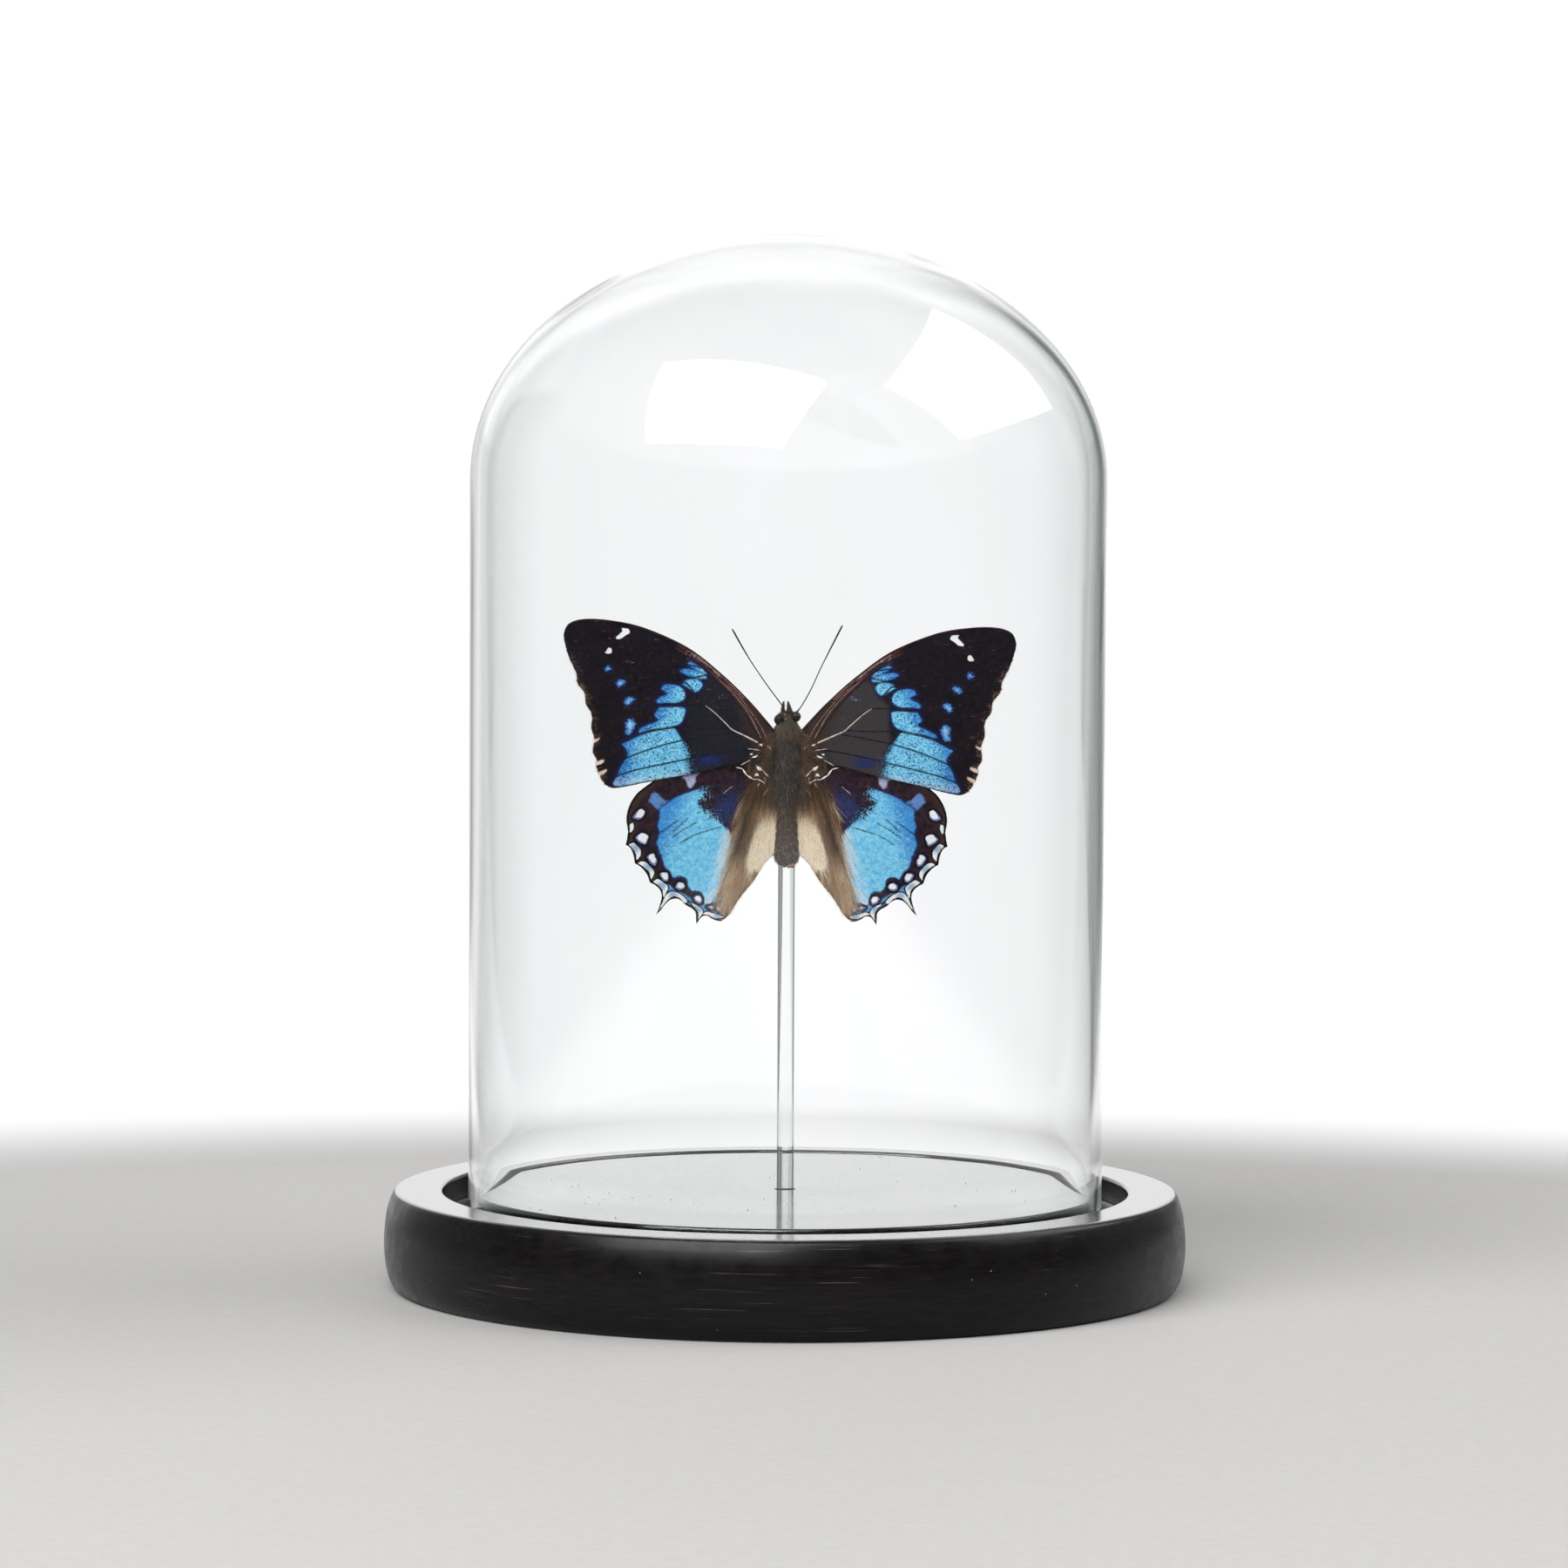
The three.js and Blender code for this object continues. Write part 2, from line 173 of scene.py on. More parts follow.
FOREWING_INNER_FIELD = [
    (2, 0), (2, 8), (7.5, 11), (13, 15.6), (15.4, 15), (16.4, 12.6), (18.2, 11.4), (18.4, 8), (18.8, 5),
    (17.6, 2), (17, -3), (8, -2),
]
FOREWING_VEINS = [
    [
        (3.7, 4.6), (5.5, 7.3), (7.6, 10.6), (10.4, 14), (14.5, 17.5), (17.6, 19.9), (21, 21.9),
        (25.1, 23.6), (29.9, 25.2),
    ],
    [
        (5.2, 4.9), (6.8, 7.3), (8.4, 9.9), (10.7, 12.8), (15, 17.2), (17.7, 19.4), (21.8, 21.5),
        (26.7, 23.5), (32.4, 25), (39.6, 25.6),
    ],
    [(17.7, 19.4), (22.6, 20.9), (26.7, 22), (31.1, 22.5), (36.4, 22.3), (41, 21.6)],
    [(15.9, 17.8), (20.2, 18.6), (25, 19.2), (32, 19.2), (36.4, 19.2), (40.3, 19)],
    [(15, 16.4), (17.7, 15.9), (20.2, 16.1), (26.6, 16.3), (32.7, 16.4), (39.2, 16)],
    [(17.4, 13.3), (18.8, 14.9), (23.4, 15.2), (27.5, 14.4), (32.3, 13.4), (37.9, 13)],
    [(15.4, 10.7), (18.5, 10.9), (24.2, 10.8), (28.2, 10.3), (33.1, 9.3), (36.5, 8.8)],
    [
        (10.7, 6.5), (14.4, 6.4), (18.5, 6.6), (20.4, 6.7), (25, 6), (27.4, 5.3), (29.8, 4.1),
        (33.1, 2.9), (36.2, 2.1),
    ],
    [
        (9.2, 5.8), (13.6, 5.2), (16.9, 4.7), (19.3, 4.3), (23.3, 3.3), (25.8, 2.5), (30.6, 0.7),
        (35.5, -0.8),
    ],
    [(5.6, 2.8), (11.2, 2.1), (16.8, 1.1), (19.3, 0.6), (25, -0.6), (28.2, -1.3), (31.1, -2.2), (34, -3.9)],
]
FOREWING_CELL_VEIN = [(5.6, 3.9), (8.4, 5.3), (10.4, 6.3), (11.5, 7.4), (13.6, 9.4), (15.3, 10.7)]
FOREWING_COSTAL_LINES = [
    [
        (3.6, 4.2), (5.1, 7), (6.3, 8.8), (7.6, 10.6), (9, 12.4), (10.8, 14.2), (12.3, 15.7),
        (14.7, 17.6), (17.8, 20), (21, 21.5),
    ],
    [
        (4.9, 4.6), (5.8, 6.5), (6.9, 8.7), (8.1, 10.5), (9.9, 12.7), (11.6, 14.5), (13.4, 16.1),
        (16.2, 18.2), (18.4, 19.6),
    ],
    [(8.2, 12.2), (10.6, 14.6), (13.4, 17.2), (17, 20), (20.6, 22)],
]
FOREWING_SHEEN = [(12.6, 16.2), (14.4, 18), (16.4, 19.4), (18.6, 20.6)]

HINDWING_FIELD = [
    (23.8, -8.6), (22, -7.3), (20.4, -6.3), (18.4, -5.5), (16.8, -5), (15.5, -5.3), (15.8, -6.4),
    (16.6, -7.4), (15.6, -8.8), (14.2, -10), (12.8, -10.8), (11.6, -11.9), (10.6, -13.2), (9.6, -14.8),
    (9.2, -17), (9.7, -19.1), (10.6, -21.4), (11.6, -23.8), (12.6, -26.1), (13.6, -26.6), (15.1, -26.4),
    (15.6, -25.1), (16.2, -24), (17.5, -24), (18.4, -23.2), (18.7, -21.7), (20, -21.2), (21.1, -21.6),
    (21.8, -20.3), (22.9, -19.3), (23.3, -17.7), (24.1, -15.9), (24.3, -14.6), (23.8, -13.3),
    (24.1, -11.8), (23.8, -10.2),
]
HINDWING_VIOLET = [
    [
        (19.6, -2.8), (19.1, -2.3), (16.3, -1.8), (17, -2.7), (17.1, -3.8), (18, -4.8), (18.6, -4.3),
        (18.9, -3.3),
    ],
    [
        (25.9, -7.1), (25.3, -5.8), (24.6, -5.4), (24, -5.8), (23, -6.8), (21.8, -7.2), (23, -8.2),
        (24, -8.9), (24.9, -8.1),
    ],
]
HINDWING_SPOTS = [
    [(28.7, -10.2), (28, -9.2), (27.2, -8.7), (26.6, -9), (26.7, -9.9), (27.4, -10.5), (28.2, -10.5)],
    [(28.2, -14), (27.2, -13.2), (26, -13.6), (26, -14.4), (26.4, -15.3), (27.2, -15), (27.8, -14.6)],
    [(26, -17.7), (25.7, -17.2), (24.9, -17), (24.6, -17.5), (24.2, -18.3), (24.6, -19.2), (25.4, -18.7)],
    [(23.7, -20.8), (23.3, -20.5), (22.4, -20.6), (22, -21.4), (22.3, -22.1), (23.1, -21.9)],
    [(20.8, -23.2), (20.3, -22.4), (19.5, -22.4), (19, -22.9), (19.2, -23.5), (20.2, -23.7)],
    [(17.4, -25.3), (16.9, -24.8), (16.1, -25), (15.8, -25.6), (16.1, -26.3), (16.9, -26)],
    [(14.8, -26.9), (14.1, -26.7), (13.5, -27), (14, -27.4)],
    [(13.2, -27), (12.7, -26.8), (12.3, -27.3), (12.6, -27.8), (13, -27.6)],
]
HINDWING_LUNULES = [
    [(29.3, -11.5), (28.7, -11.2), (28.5, -12), (28.8, -12.8), (29.2, -13.2), (29.3, -12.5)],
    [
        (29.5, -15.3), (28.5, -14.9), (27.8, -15.6), (27.2, -16.4), (27.3, -17.5), (28, -18.2),
        (28.1, -17.2), (28.7, -16.1),
    ],
    [
        (27.8, -18.8), (27, -18.4), (26, -18.8), (24.9, -20), (24.7, -20.8), (25.3, -21.8),
        (25.6, -20.6), (26.5, -19.6),
    ],
    [
        (25, -22.3), (24.1, -21.7), (22.9, -22.4), (22.1, -23.2), (22.4, -24.2), (23, -25.2),
        (23.2, -23.8), (24, -22.9),
    ],
    [
        (24.0, -27.8), (23.3, -26.4), (22.6, -24.9), (21.5, -24), (20.1, -24.4), (19, -25.2),
        (18.5, -26), (19.1, -26.2), (20, -25.3), (21.1, -25), (22.3, -25.8), (23.2, -27),
    ],
    [
        (18.3, -25.9), (17.4, -26.3), (16.1, -27), (15.6, -27.9), (16.2, -29), (16.6, -29.7),
        (16.5, -28.1), (17.3, -26.9),
    ],
    [
        (15.7, -28.3), (14.9, -27.8), (13.8, -28.1), (12.5, -28.4), (11.7, -28.9), (13.3, -29.1),
        (14.6, -28.5),
    ],
]
LUNULE_MIDDLES = [(28.1, -15.9), (25.9, -19.6), (23.3, -23), (21.2, -24.6), (16.6, -27.3), (12.8, -28.7)]
HINDWING_CREAM = [
    (1.6, -7.8), (3, -7.4), (4.4, -7.9), (5.6, -9.8), (6.8, -12.6), (7.5, -15), (7.9, -18.4),
    (7.2, -20.4), (5.6, -20.4), (3.6, -18.6), (1.6, -17),
]
HINDWING_BLUE_BITS = [
    (12, -26.6), (15.5, -26.4), (19.5, -24.3), (22.5, -22.6), (22.6, -24.2), (20, -25.3), (16.5, -27.6),
    (12.6, -28.7),
]
HINDWING_VEINS = [
    [
        (5.1, -2.8), (8.7, -3.3), (12.8, -4.1), (16.8, -4.8), (20.1, -5.9), (22.5, -7.1), (25.7, -8.4),
        (29.5, -10.7),
    ],
    [
        (5.1, -3.1), (10.3, -4.7), (14.4, -6.7), (17.3, -8.7), (20.4, -10.8), (23.8, -13.4),
        (26.5, -14.8), (29.8, -15.4),
    ],
    [(5.1, -3.4), (9.5, -5.9), (12.7, -9.2), (16.8, -12.1), (20.4, -14.2), (23.8, -16.7), (28.1, -18.7)],
    [(12.7, -9.2), (14.8, -12.1), (18.4, -16.2), (22, -19.6), (25.4, -22.3)],
    [
        (4.8, -3.7), (8.7, -8), (12.1, -11.6), (14.3, -14.5), (17.6, -19.3), (20.6, -23.2),
        (22.6, -25.2), (24.1, -28),
    ],
    [(12.1, -11.6), (13.5, -16.2), (15.4, -20.7), (17.4, -23.8), (18.7, -26.5)],
    [(4.5, -4.1), (7.9, -9.6), (10.3, -14.5), (11.6, -19.4), (13.5, -23.8), (15.4, -27.1), (16.7, -29.8)],
]
HINDWING_STREAKS = [
    [(12.4, -12), (13.5, -12.3), (16.3, -13.1), (18.1, -13.9), (20, -15.1)],
    [(20.4, -10.8), (22.5, -12.3), (23.8, -13.2)],
    [(18.4, -10.3), (20.4, -12.1), (21.2, -12.8)],
    [(16.8, -11.1), (19.2, -12.4), (21.3, -13.9)],
    [(14.6, -8.2), (16.6, -9.4)],
    [(13.5, -9.9), (15.2, -10.7)],
]
# Pale hardened bits at the wing roots: their line, their half width and how pale they are; above about 1.1
# their colour goes near white, partly a painted highlight.
ROOT_PLATES = [
    (
        [(9.6, -0.8), (9, -0.9), (8.4, -1.1), (8, -1.7), (7.6, -2.2), (7, -2.6), (6.3, -3), (5.7, -3)],
        0.13,
        1.6,
    ),
    ([(5.8, -0.5), (5.3, -1), (4.7, -1.3)], 0.25, 1.6),
    ([(4.5, -1.4), (4, -2), (3.5, -2.5)], 0.13, 1.6),
    ([(6.1, -2.4), (5.7, -2.1), (5.4, -2.4)], 0.2, 1.6),
    ([(5.5, -3), (4.9, -3.3), (4.4, -3.6)], 0.11, 1.4),
    ([(4.3, -2.6), (4.1, -3.1), (4.4, -3.9)], 0.09, 1.1),
    ([(8.8, -0.4), (7.9, 0.1), (7, 0.6)], 0.09, 1.1),
    ([(7, 1.7), (6.5, 1.7)], 0.12, 1.6),
    ([(6.7, 1.1), (6.1, 1.2), (5.5, 1.5)], 0.13, 1.5),
    ([(7.4, 2.7), (6.3, 2.6), (5.2, 2.4)], 0.09, 1.1),
    ([(3.9, 3.2), (3.4, 3), (3.1, 2.5)], 0.11, 1.2),
    ([(5.3, 3.6), (4.7, 3.3)], 0.14, 1.5),
    ([(5.2, -3.7), (5.6, -4.4)], 0.08, 1.2),
    ([(3.6, -4.8), (4.5, -6)], 0.06, 1.0),
    ([(10.3, -4.3), (12, -5.7)], 0.05, 0.9),
]

# Legs in the insect's frame: out from the midline, depth, height.
LEGS = {
    "middle": [(2.2, 2.9, 2.2), (3.9, 3.9, 4.6), (5, 4.1, 2.2), (3.6, 4.3, -2.2), (2.7, 4.4, -4.6)],
    "hind": [(2.4, 2.6, -1.8), (4.5, 3, -0.6), (5.8, 3.2, -3.4), (4.3, 3.3, -7.2), (3.4, 3.3, -9.4)],
}
# Thickness of a leg along its length: share of the length, radius.
LEG_RADII = [
    (0, 0.2), (0.1, 0.3), (0.26, 0.26), (0.32, 0.15), (0.36, 0.19), (0.62, 0.15), (0.66, 0.12),
    (0.96, 0.09), (1, 0.04),
]
# Antennae, measured like the legs.
ANTENNAE = {
    "left": [(0.6, 0, 9.2), (0.95, -0.3, 10.6), (4.1, -0.6, 14.9), (7.4, -0.7, 19.8), (10.4, -0.8, 25)],
    "right": [(0.8, 0, 9.3), (2.1, -0.5, 9.9), (4.3, -0.6, 13.6), (6.5, -0.7, 18.4), (10.2, -0.8, 25.8)],
}
# Claspers at the tail end: across, above the tail's end, size.
CLASPERS = [(0.45, 0.4, 0.42), (1.15, 0.55, 0.5), (-0.4, 0.55, 0.4)]

# The rest is measured from the middle of the head.
EYES = [(-1.5, -0.45, 1.0), (1.62, 0.15, 0.92)]  # across, level, size
# Line of each palp and its radii along it.
PALPS = [
    ([(-0.75, 0, 0.4), (-0.84, 0, 1.2), (-0.8, -0.05, 2.0), (-0.68, -0.1, 3.0)], [0.45, 0.42, 0.27, 0.04]),
    ([(0.45, 0, 0.4), (0.38, 0, 1.1), (0.24, -0.05, 2.0), (0.08, -0.1, 3.0)], [0.62, 0.55, 0.32, 0.04]),
]
# Small pale spots between the eyes and on the collar, pale scales whose colour also paints glints: across,
# depth, level, size.
PAINTED_GLINT_SPOTS = [
    (-0.5, -1.46, 0.6, 0.17), (-0.3, -1.62, -0.3, 0.15), (-2.05, -1.2, -2.4, 0.16),
    (-1.7, -1.7, -2.8, 0.15), (1.5, -0.95, 0.5, 0.1), (1.9, -0.85, 0.2, 0.09),
]

# ---- Shapes ----


def clamp(value):
    """The value kept between 0 and 1."""
    return np.clip(value, 0, 1)


def near(distance, width):
    """1 where the distance is 0, falling off smoothly over about the width."""
    return np.exp(-((distance / width) ** 2))


def unit(vectors):
    """Vectors, one in each row, made 1 long."""
    return vectors / np.maximum(np.linalg.norm(vectors, axis=1, keepdims=True), 1e-9)


def polar(distance, turn, height):
    """Points from their distance and direction from the axis, and their height."""
    parts = np.broadcast_arrays(distance * np.cos(turn), distance * np.sin(turn), height)
    return np.stack(parts, axis=-1)


def smooth_line(points, step):
    """A Catmull-Rom curve through the points, with samples about a step apart."""
    points = np.asarray(points, float)
    padded = np.vstack([points[:1], points, points[-1:]])
    out = []
    for a, b, c, d in zip(padded, padded[1:], padded[2:], padded[3:]):
        count = max(1, round(np.linalg.norm(c - b) / step))
        t = np.linspace(0, 1, count, endpoint=False)[:, None]
        out.append(b + 0.5 * t * ((c - a) + t * (2 * a - 5 * b + 4 * c - d + t * (3 * (b - c) + d - a))))
    out.append(points[-1:])
    return np.vstack(out)


def closed(outline):
    """An outline with its first point repeated at its end."""
    return np.vstack([outline, outline[:1]])


def path_distance(where, path):
    """Distance from each 2-D point to the nearest part of a path."""
    best = np.full(len(where), 1e9)
    for a, b in zip(path[:-1], path[1:]):
        run = b - a
        along = np.clip(((where - a) @ run) / max(run @ run, 1e-12), 0, 1)
        best = np.minimum(best, np.linalg.norm(where - a - along[:, None] * run, axis=1))
    return best


def nearest_path(where, paths):
    """Distance from each point to the nearest of several paths."""
    return np.min([path_distance(where, np.asarray(path, float)) for path in paths], axis=0)


def is_inside(where, outline):
    """True for each 2-D point inside a closed outline."""
    found = np.zeros(len(where), bool)
    x, y = where[:, 0], where[:, 1]
    for (ax, ay), (bx, by) in zip(outline, np.roll(outline, -1, axis=0)):
        if ay != by:
            spans = (ay > y) != (by > y)
            found ^= spans & (x < (bx - ax) * (y - ay) / (by - ay) + ax)
    return found


def depth_inside(where, outlines, rounding=0.3):
    """How deep each point lies in the nearest of the closed outlines, negative outside."""
    best = np.full(len(where), -1e9)
    for outline in outlines:
        curve = smooth_line([*outline, outline[0]], rounding)
        distance = path_distance(where, curve)
        best = np.maximum(best, np.where(is_inside(where, curve[:-1]), distance, -distance))
    return best


class Build:
    """Collects one mesh: points, faces, a material number per face and named values per point."""

    def __init__(self):
        self.points = []
        self.faces = []
        self.finishes = []
        self.values = []
        self.count = 0

    def add(self, points, faces, finish=0, **values):
        """Groups of faces over new points, with one material number or one for each group."""
        points = np.asarray(points, float).reshape(-1, 3)
        for group, number in zip(faces, np.broadcast_to(finish, (len(faces),)).tolist()):
            if len(group):
                self.faces.extend((np.asarray(group, int) + self.count).tolist())
                self.finishes.extend([number] * len(group))
        self.points.append(points)
        self.values.append((len(points), values))
        self.count += len(points)

    def piece(self, name, materials, replaces):
        """The finished piece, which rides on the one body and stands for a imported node."""
        mesh = bpy.data.meshes.new(name)
        mesh.from_pydata((np.vstack(self.points) * MM).tolist(), [], self.faces)
        for material in materials:
            mesh.materials.append(material)
        mesh.polygons.foreach_set("material_index", self.finishes)
        mesh.polygons.foreach_set("use_smooth", [True] * len(self.faces))
        for key in sorted({key for _, values in self.values for key in values}):
            parts = [np.broadcast_to(values.get(key, 0.0), (count,)) for count, values in self.values]
            layer = mesh.attributes.new(key, "FLOAT", "POINT")
            layer.data.foreach_set("value", np.concatenate(parts).astype(np.float32))
        mesh.update()
        made = bpy.data.objects.new(name, mesh)
        bpy.context.scene.collection.objects.link(made)
        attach(made, "root")
        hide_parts(replaces)


def lathe(profile, sides, depth=1.0):
    """A profile of (radius, height) turned about Z, from its low end to its high end along the outside."""
    angles = np.linspace(0, 2 * math.pi, sides, endpoint=False)
    points, rings, triangles, quads = [], [], [], []
    for radius, height in profile:
        rings.append((len(points), radius > 0))
        if radius > 0:
            points.extend((radius * math.cos(a), depth * radius * math.sin(a), height) for a in angles)
        else:
            points.append((0, 0, height))
    for (low, low_open), (high, high_open) in zip(rings, rings[1:]):
        for j in range(sides):
            k = (j + 1) % sides
            if low_open and high_open:
                quads.append((low + j, low + k, high + k, high + j))
            elif high_open:
                triangles.append((low, high + k, high + j))
            elif low_open:
                triangles.append((low + j, low + k, high))
    return np.asarray(points, float), [quads, triangles]


def rounded(corners, steps=5):
    """A profile whose corners of (radius, height, rounding) are rounded; those of two stay sharp."""
    out = []
    for before, corner, after in zip([None, *corners], corners, [*corners[1:], None]):
        here = np.array(corner[:2], float)
        if len(corner) == 2:
            out.append(tuple(here))
            continue
        arms = [np.array(other[:2], float) - here for other in (before, after)]
        lengths = [np.linalg.norm(arm) for arm in arms]
        reach = min(corner[2], lengths[0] / 2, lengths[1] / 2)
        start, end = [here + arm / length * reach for arm, length in zip(arms, lengths)]
        # A ring just before and just after the rounding keeps the flat parts beside it flat in the shading.
        first, last = [
            here + arm / length * (reach + min(0.25, (length - reach) / 3))
            for arm, length in zip(arms, lengths)
        ]
        out.append(tuple(first))
        for t in np.linspace(0, 1, steps):
            out.append(tuple((1 - t) ** 2 * start + 2 * t * (1 - t) * here + t * t * end))
        out.append(tuple(last))
    return out


def tube(path, radii, sides, flatten=1.0, flat_axis=(0, 1, 0)):
    """A round tube along a path, with pointed ends; flatten thins it along one axis."""
    path = np.asarray(path, float)
    radii = np.broadcast_to(radii, (len(path),))
    tangents = unit(np.gradient(path, axis=0))
    across = np.cross(tangents, np.asarray(flat_axis, float))
    across[np.linalg.norm(across, axis=1) < 1e-3] = (1, 0, 0)
    across = unit(across)
    up = np.cross(across, tangents)
    turn = np.linspace(0, 2 * math.pi, sides, endpoint=False)
    rings = (
        path[:, None]
        + across[:, None] * (np.cos(turn)[None, :, None] * radii[:, None, None])
        + up[:, None] * (np.sin(turn)[None, :, None] * radii[:, None, None] * flatten)
    )
    tips = [path[:1] - tangents[:1] * radii[0], path[-1:] + tangents[-1:] * radii[-1]]
    quads, triangles = [], []
    first = len(path) * sides
    last_ring = first - sides
    for low in range(0, last_ring, sides):
        for j in range(sides):
            k = (j + 1) % sides
            quads.append((low + j, low + k, low + sides + k, low + sides + j))
    for j in range(sides):
        k = (j + 1) % sides
        triangles.append((first, k, j))
        triangles.append((first + 1, last_ring + j, last_ring + k))
    return np.vstack([rings.reshape(-1, 3), *tips]), [quads, triangles]


def hairs(build, finish, rng, roots, directions, lengths, widths, segments=3, sag=0.0, **values):
    """Thin tapering strips from the roots, each bent a little and turned at random about its own length."""
    count = len(roots)
    directions = unit(directions)
    lengths = np.broadcast_to(lengths, (count,))[:, None]
    widths = np.broadcast_to(widths, (count,))
    sideways = unit(np.cross(directions, rng.normal(size=(count, 3))))
    bend = rng.normal(size=(count, 3)) * 0.12 - (0, 0, sag)
    steps = np.linspace(0, 1, segments + 1)
    points = np.empty((count, segments + 1, 2, 3))
    for index, t in enumerate(steps):
        middle = roots + directions * lengths * t + bend * lengths * t * t
        half = sideways * (widths * (1 - 0.85 * t) / 2)[:, None]
        points[:, index, 0] = middle - half
        points[:, index, 1] = middle + half
    per_hair = 2 * (segments + 1)
    first = (np.arange(count)[:, None] * per_hair + np.arange(segments)[None, :] * 2).reshape(-1)
    quads = np.stack([first, first + 1, first + 3, first + 2], axis=1)
    spread = {key: np.repeat(np.broadcast_to(value, (count,)), per_hair) for key, value in values.items()}
    build.add(points, [quads], finish, along=np.tile(np.repeat(steps, 2), count), **spread)


def ball(centre, size, across, along, lumps=0.0, seed=0):
    """An ellipsoid about Z, with an uneven skin where lumps are asked for."""
    angles = np.linspace(-math.pi / 2, math.pi / 2, along)
    profile = [(math.cos(a), math.sin(a)) for a in angles[1:-1]]
    points, faces = lathe([(0, -1), *profile, (0, 1)], across)
    if lumps:
        waves = np.random.default_rng(seed).normal(size=(6, 3)) * 2.4
        uneven = sum(np.sin(points @ wave + index) for index, wave in enumerate(waves)) / len(waves)
        points = points * (1 + lumps * uneven[:, None])
    return points * np.asarray(size, float) + np.asarray(centre, float), faces


def thickened(faces, count):
    """The faces of an open skin, of its copy, whose points come count later, and of the rim between them."""
    faces = [list(face) for face in faces]
    edges = dict.fromkeys((a, b) for face in faces for a, b in zip(face, face[1:] + face[:1]))
    rim = [(b, a, count + a, count + b) for a, b in edges if (b, a) not in edges]
    copy = [[count + point for point in reversed(face)] for face in faces]
    return [faces, copy, rim]


# ---- Materials ----

# Sockets of a Mix node set to colours: names are shared with its number sockets, so they go by position.
MIX_FACTOR, MIX_FIRST, MIX_SECOND, MIX_RESULT = 0, 6, 7, 2


def tone(red, green, blue):
    """A display colour of 0 to 255 as a linear colour."""
    parts = [value / 255 for value in (red, green, blue)]
    return [p / 12.92 if p <= 0.04045 else ((p + 0.055) / 1.055) ** 2.4 for p in parts] + [1.0]


class Nodes:
    """Short calls that each add a node to a node tree and give its output."""

    def __init__(self, tree):
        self.tree = tree

    def new(self, kind):
        return self.tree.nodes.new("ShaderNode" + kind)

    def feed(self, node, inputs):
        """Gives sockets or constants to a node's inputs, by name or position, and returns its outputs."""
        for key, value in inputs.items():
            if isinstance(value, bpy.types.NodeSocket):
                self.tree.links.new(value, node.inputs[key])
            else:
                node.inputs[key].default_value = value
        return node.outputs

    def coordinates(self, kind):
        return self.new("TexCoord").outputs[kind]

    def split(self, vector):
        return self.feed(self.new("SeparateXYZ"), {0: vector})

    def math(self, operation, first, second=0.0):
        node = self.new("Math")
        node.operation = operation
        return self.feed(node, {0: first, 1: second})[0]

    def ramp(self, value, low, high, start=0.0, end=1.0):
        """Goes smoothly from start to end while the value goes from low to high."""
        node = self.new("MapRange")
        node.interpolation_type = "SMOOTHSTEP"
        inputs = {"Value": value, "From Min": low, "From Max": high, "To Min": start, "To Max": end}
        return self.feed(node, inputs)["Result"]

    def mix(self, amount, first, second):
        node = self.new("Mix")
        node.data_type = "RGBA"
        return self.feed(node, {MIX_FACTOR: amount, MIX_FIRST: first, MIX_SECOND: second})[MIX_RESULT]


class Paint(Nodes):
    """One node material with a Principled shader."""

    def __init__(self, name, **constants):
        self.material = bpy.data.materials.new(name)
        self.material.use_nodes = True
        super().__init__(self.material.node_tree)
        self.shader = self.tree.nodes["Principled BSDF"]
        self.feed(self.shader, {key.replace("_", " "): value for key, value in constants.items()})

    def value(self, name):
        """A named value of the mesh's points."""
        node = self.new("Attribute")
        node.attribute_name = name
        return node.outputs["Fac"]

    def place(self, stretch=(1, 1, 1)):
        """Position in millimetres, squeezed along each axis."""
        scale = [axis / MM for axis in stretch]
        inputs = {"Vector": self.coordinates("Object"), "Scale": scale}
        return self.feed(self.new("Mapping"), inputs)["Vector"]

    def noise(self, where, scale, detail=2.0, roughness=0.5, distortion=0.0):
        inputs = {"Vector": where, "Scale": scale, "Detail": detail}
        inputs.update({"Roughness": roughness, "Distortion": distortion})
        return self.feed(self.new("TexNoise"), inputs)["Fac"]

    def cells(self, scale):
        return self.feed(self.new("TexVoronoi"), {"Vector": self.place(), "Scale": scale})["Distance"]

    def done(self, colour, roughness=None, height=None, distance=0.05, strength=1.0):
        """Feeds the shader; height gives a bump that is a distance in millimetres deep."""
        self.feed(self.shader, {"Base Color": colour})
        if roughness is not None:
            self.feed(self.shader, {"Roughness": roughness})
        if height is not None:
            inputs = {"Height": height, "Distance": distance * MM, "Strength": strength}
            self.feed(self.shader, {"Normal": self.feed(self.new("Bump"), inputs)["Normal"]})
        return self.material


def black_paint(name, coat, coat_bend, bump, wear):
    """Satin black paint on turned wood, with the grain, fine scratches and dust specks showing."""
    paint = Paint(name, Specular_IOR_Level=0.16, Coat_Weight=coat, Coat_Roughness=0.12, Coat_IOR=coat_bend)
    grain = paint.noise(paint.place((0.03, 0.5, 1.6)), 1.0, 5, 0.6)
    fine = paint.noise(paint.place((0.05, 0.05, 6)), 1.0, 3, 0.6)
    patches = paint.noise(paint.place(), 0.05, 3)
    colour = paint.mix(paint.ramp(grain, 0.35, 0.75), tone(9, 8, 10), tone(20, 16, 16))
    scratch = paint.math("MULTIPLY", paint.ramp(fine, 0.64, 0.72), paint.ramp(patches, 0.45, 0.6, 0.0, 0.4))
    colour = paint.mix(scratch, colour, tone(120, 110, 104))
    colour = paint.mix(paint.ramp(paint.cells(0.2), 0.035, 0.02, 0.0, 0.4), colour, tone(170, 166, 160))
    uneven = paint.noise(paint.place(), 0.3, 4)
    roughness = paint.ramp(uneven, 0.3, 0.7, 0.3 - wear / 2, 0.3 + wear / 2)
    height = paint.math("ADD", paint.math("MULTIPLY", grain, 0.7), paint.math("MULTIPLY", fine, 0.3))
    return paint.done(colour, roughness, height, bump, 0.5)


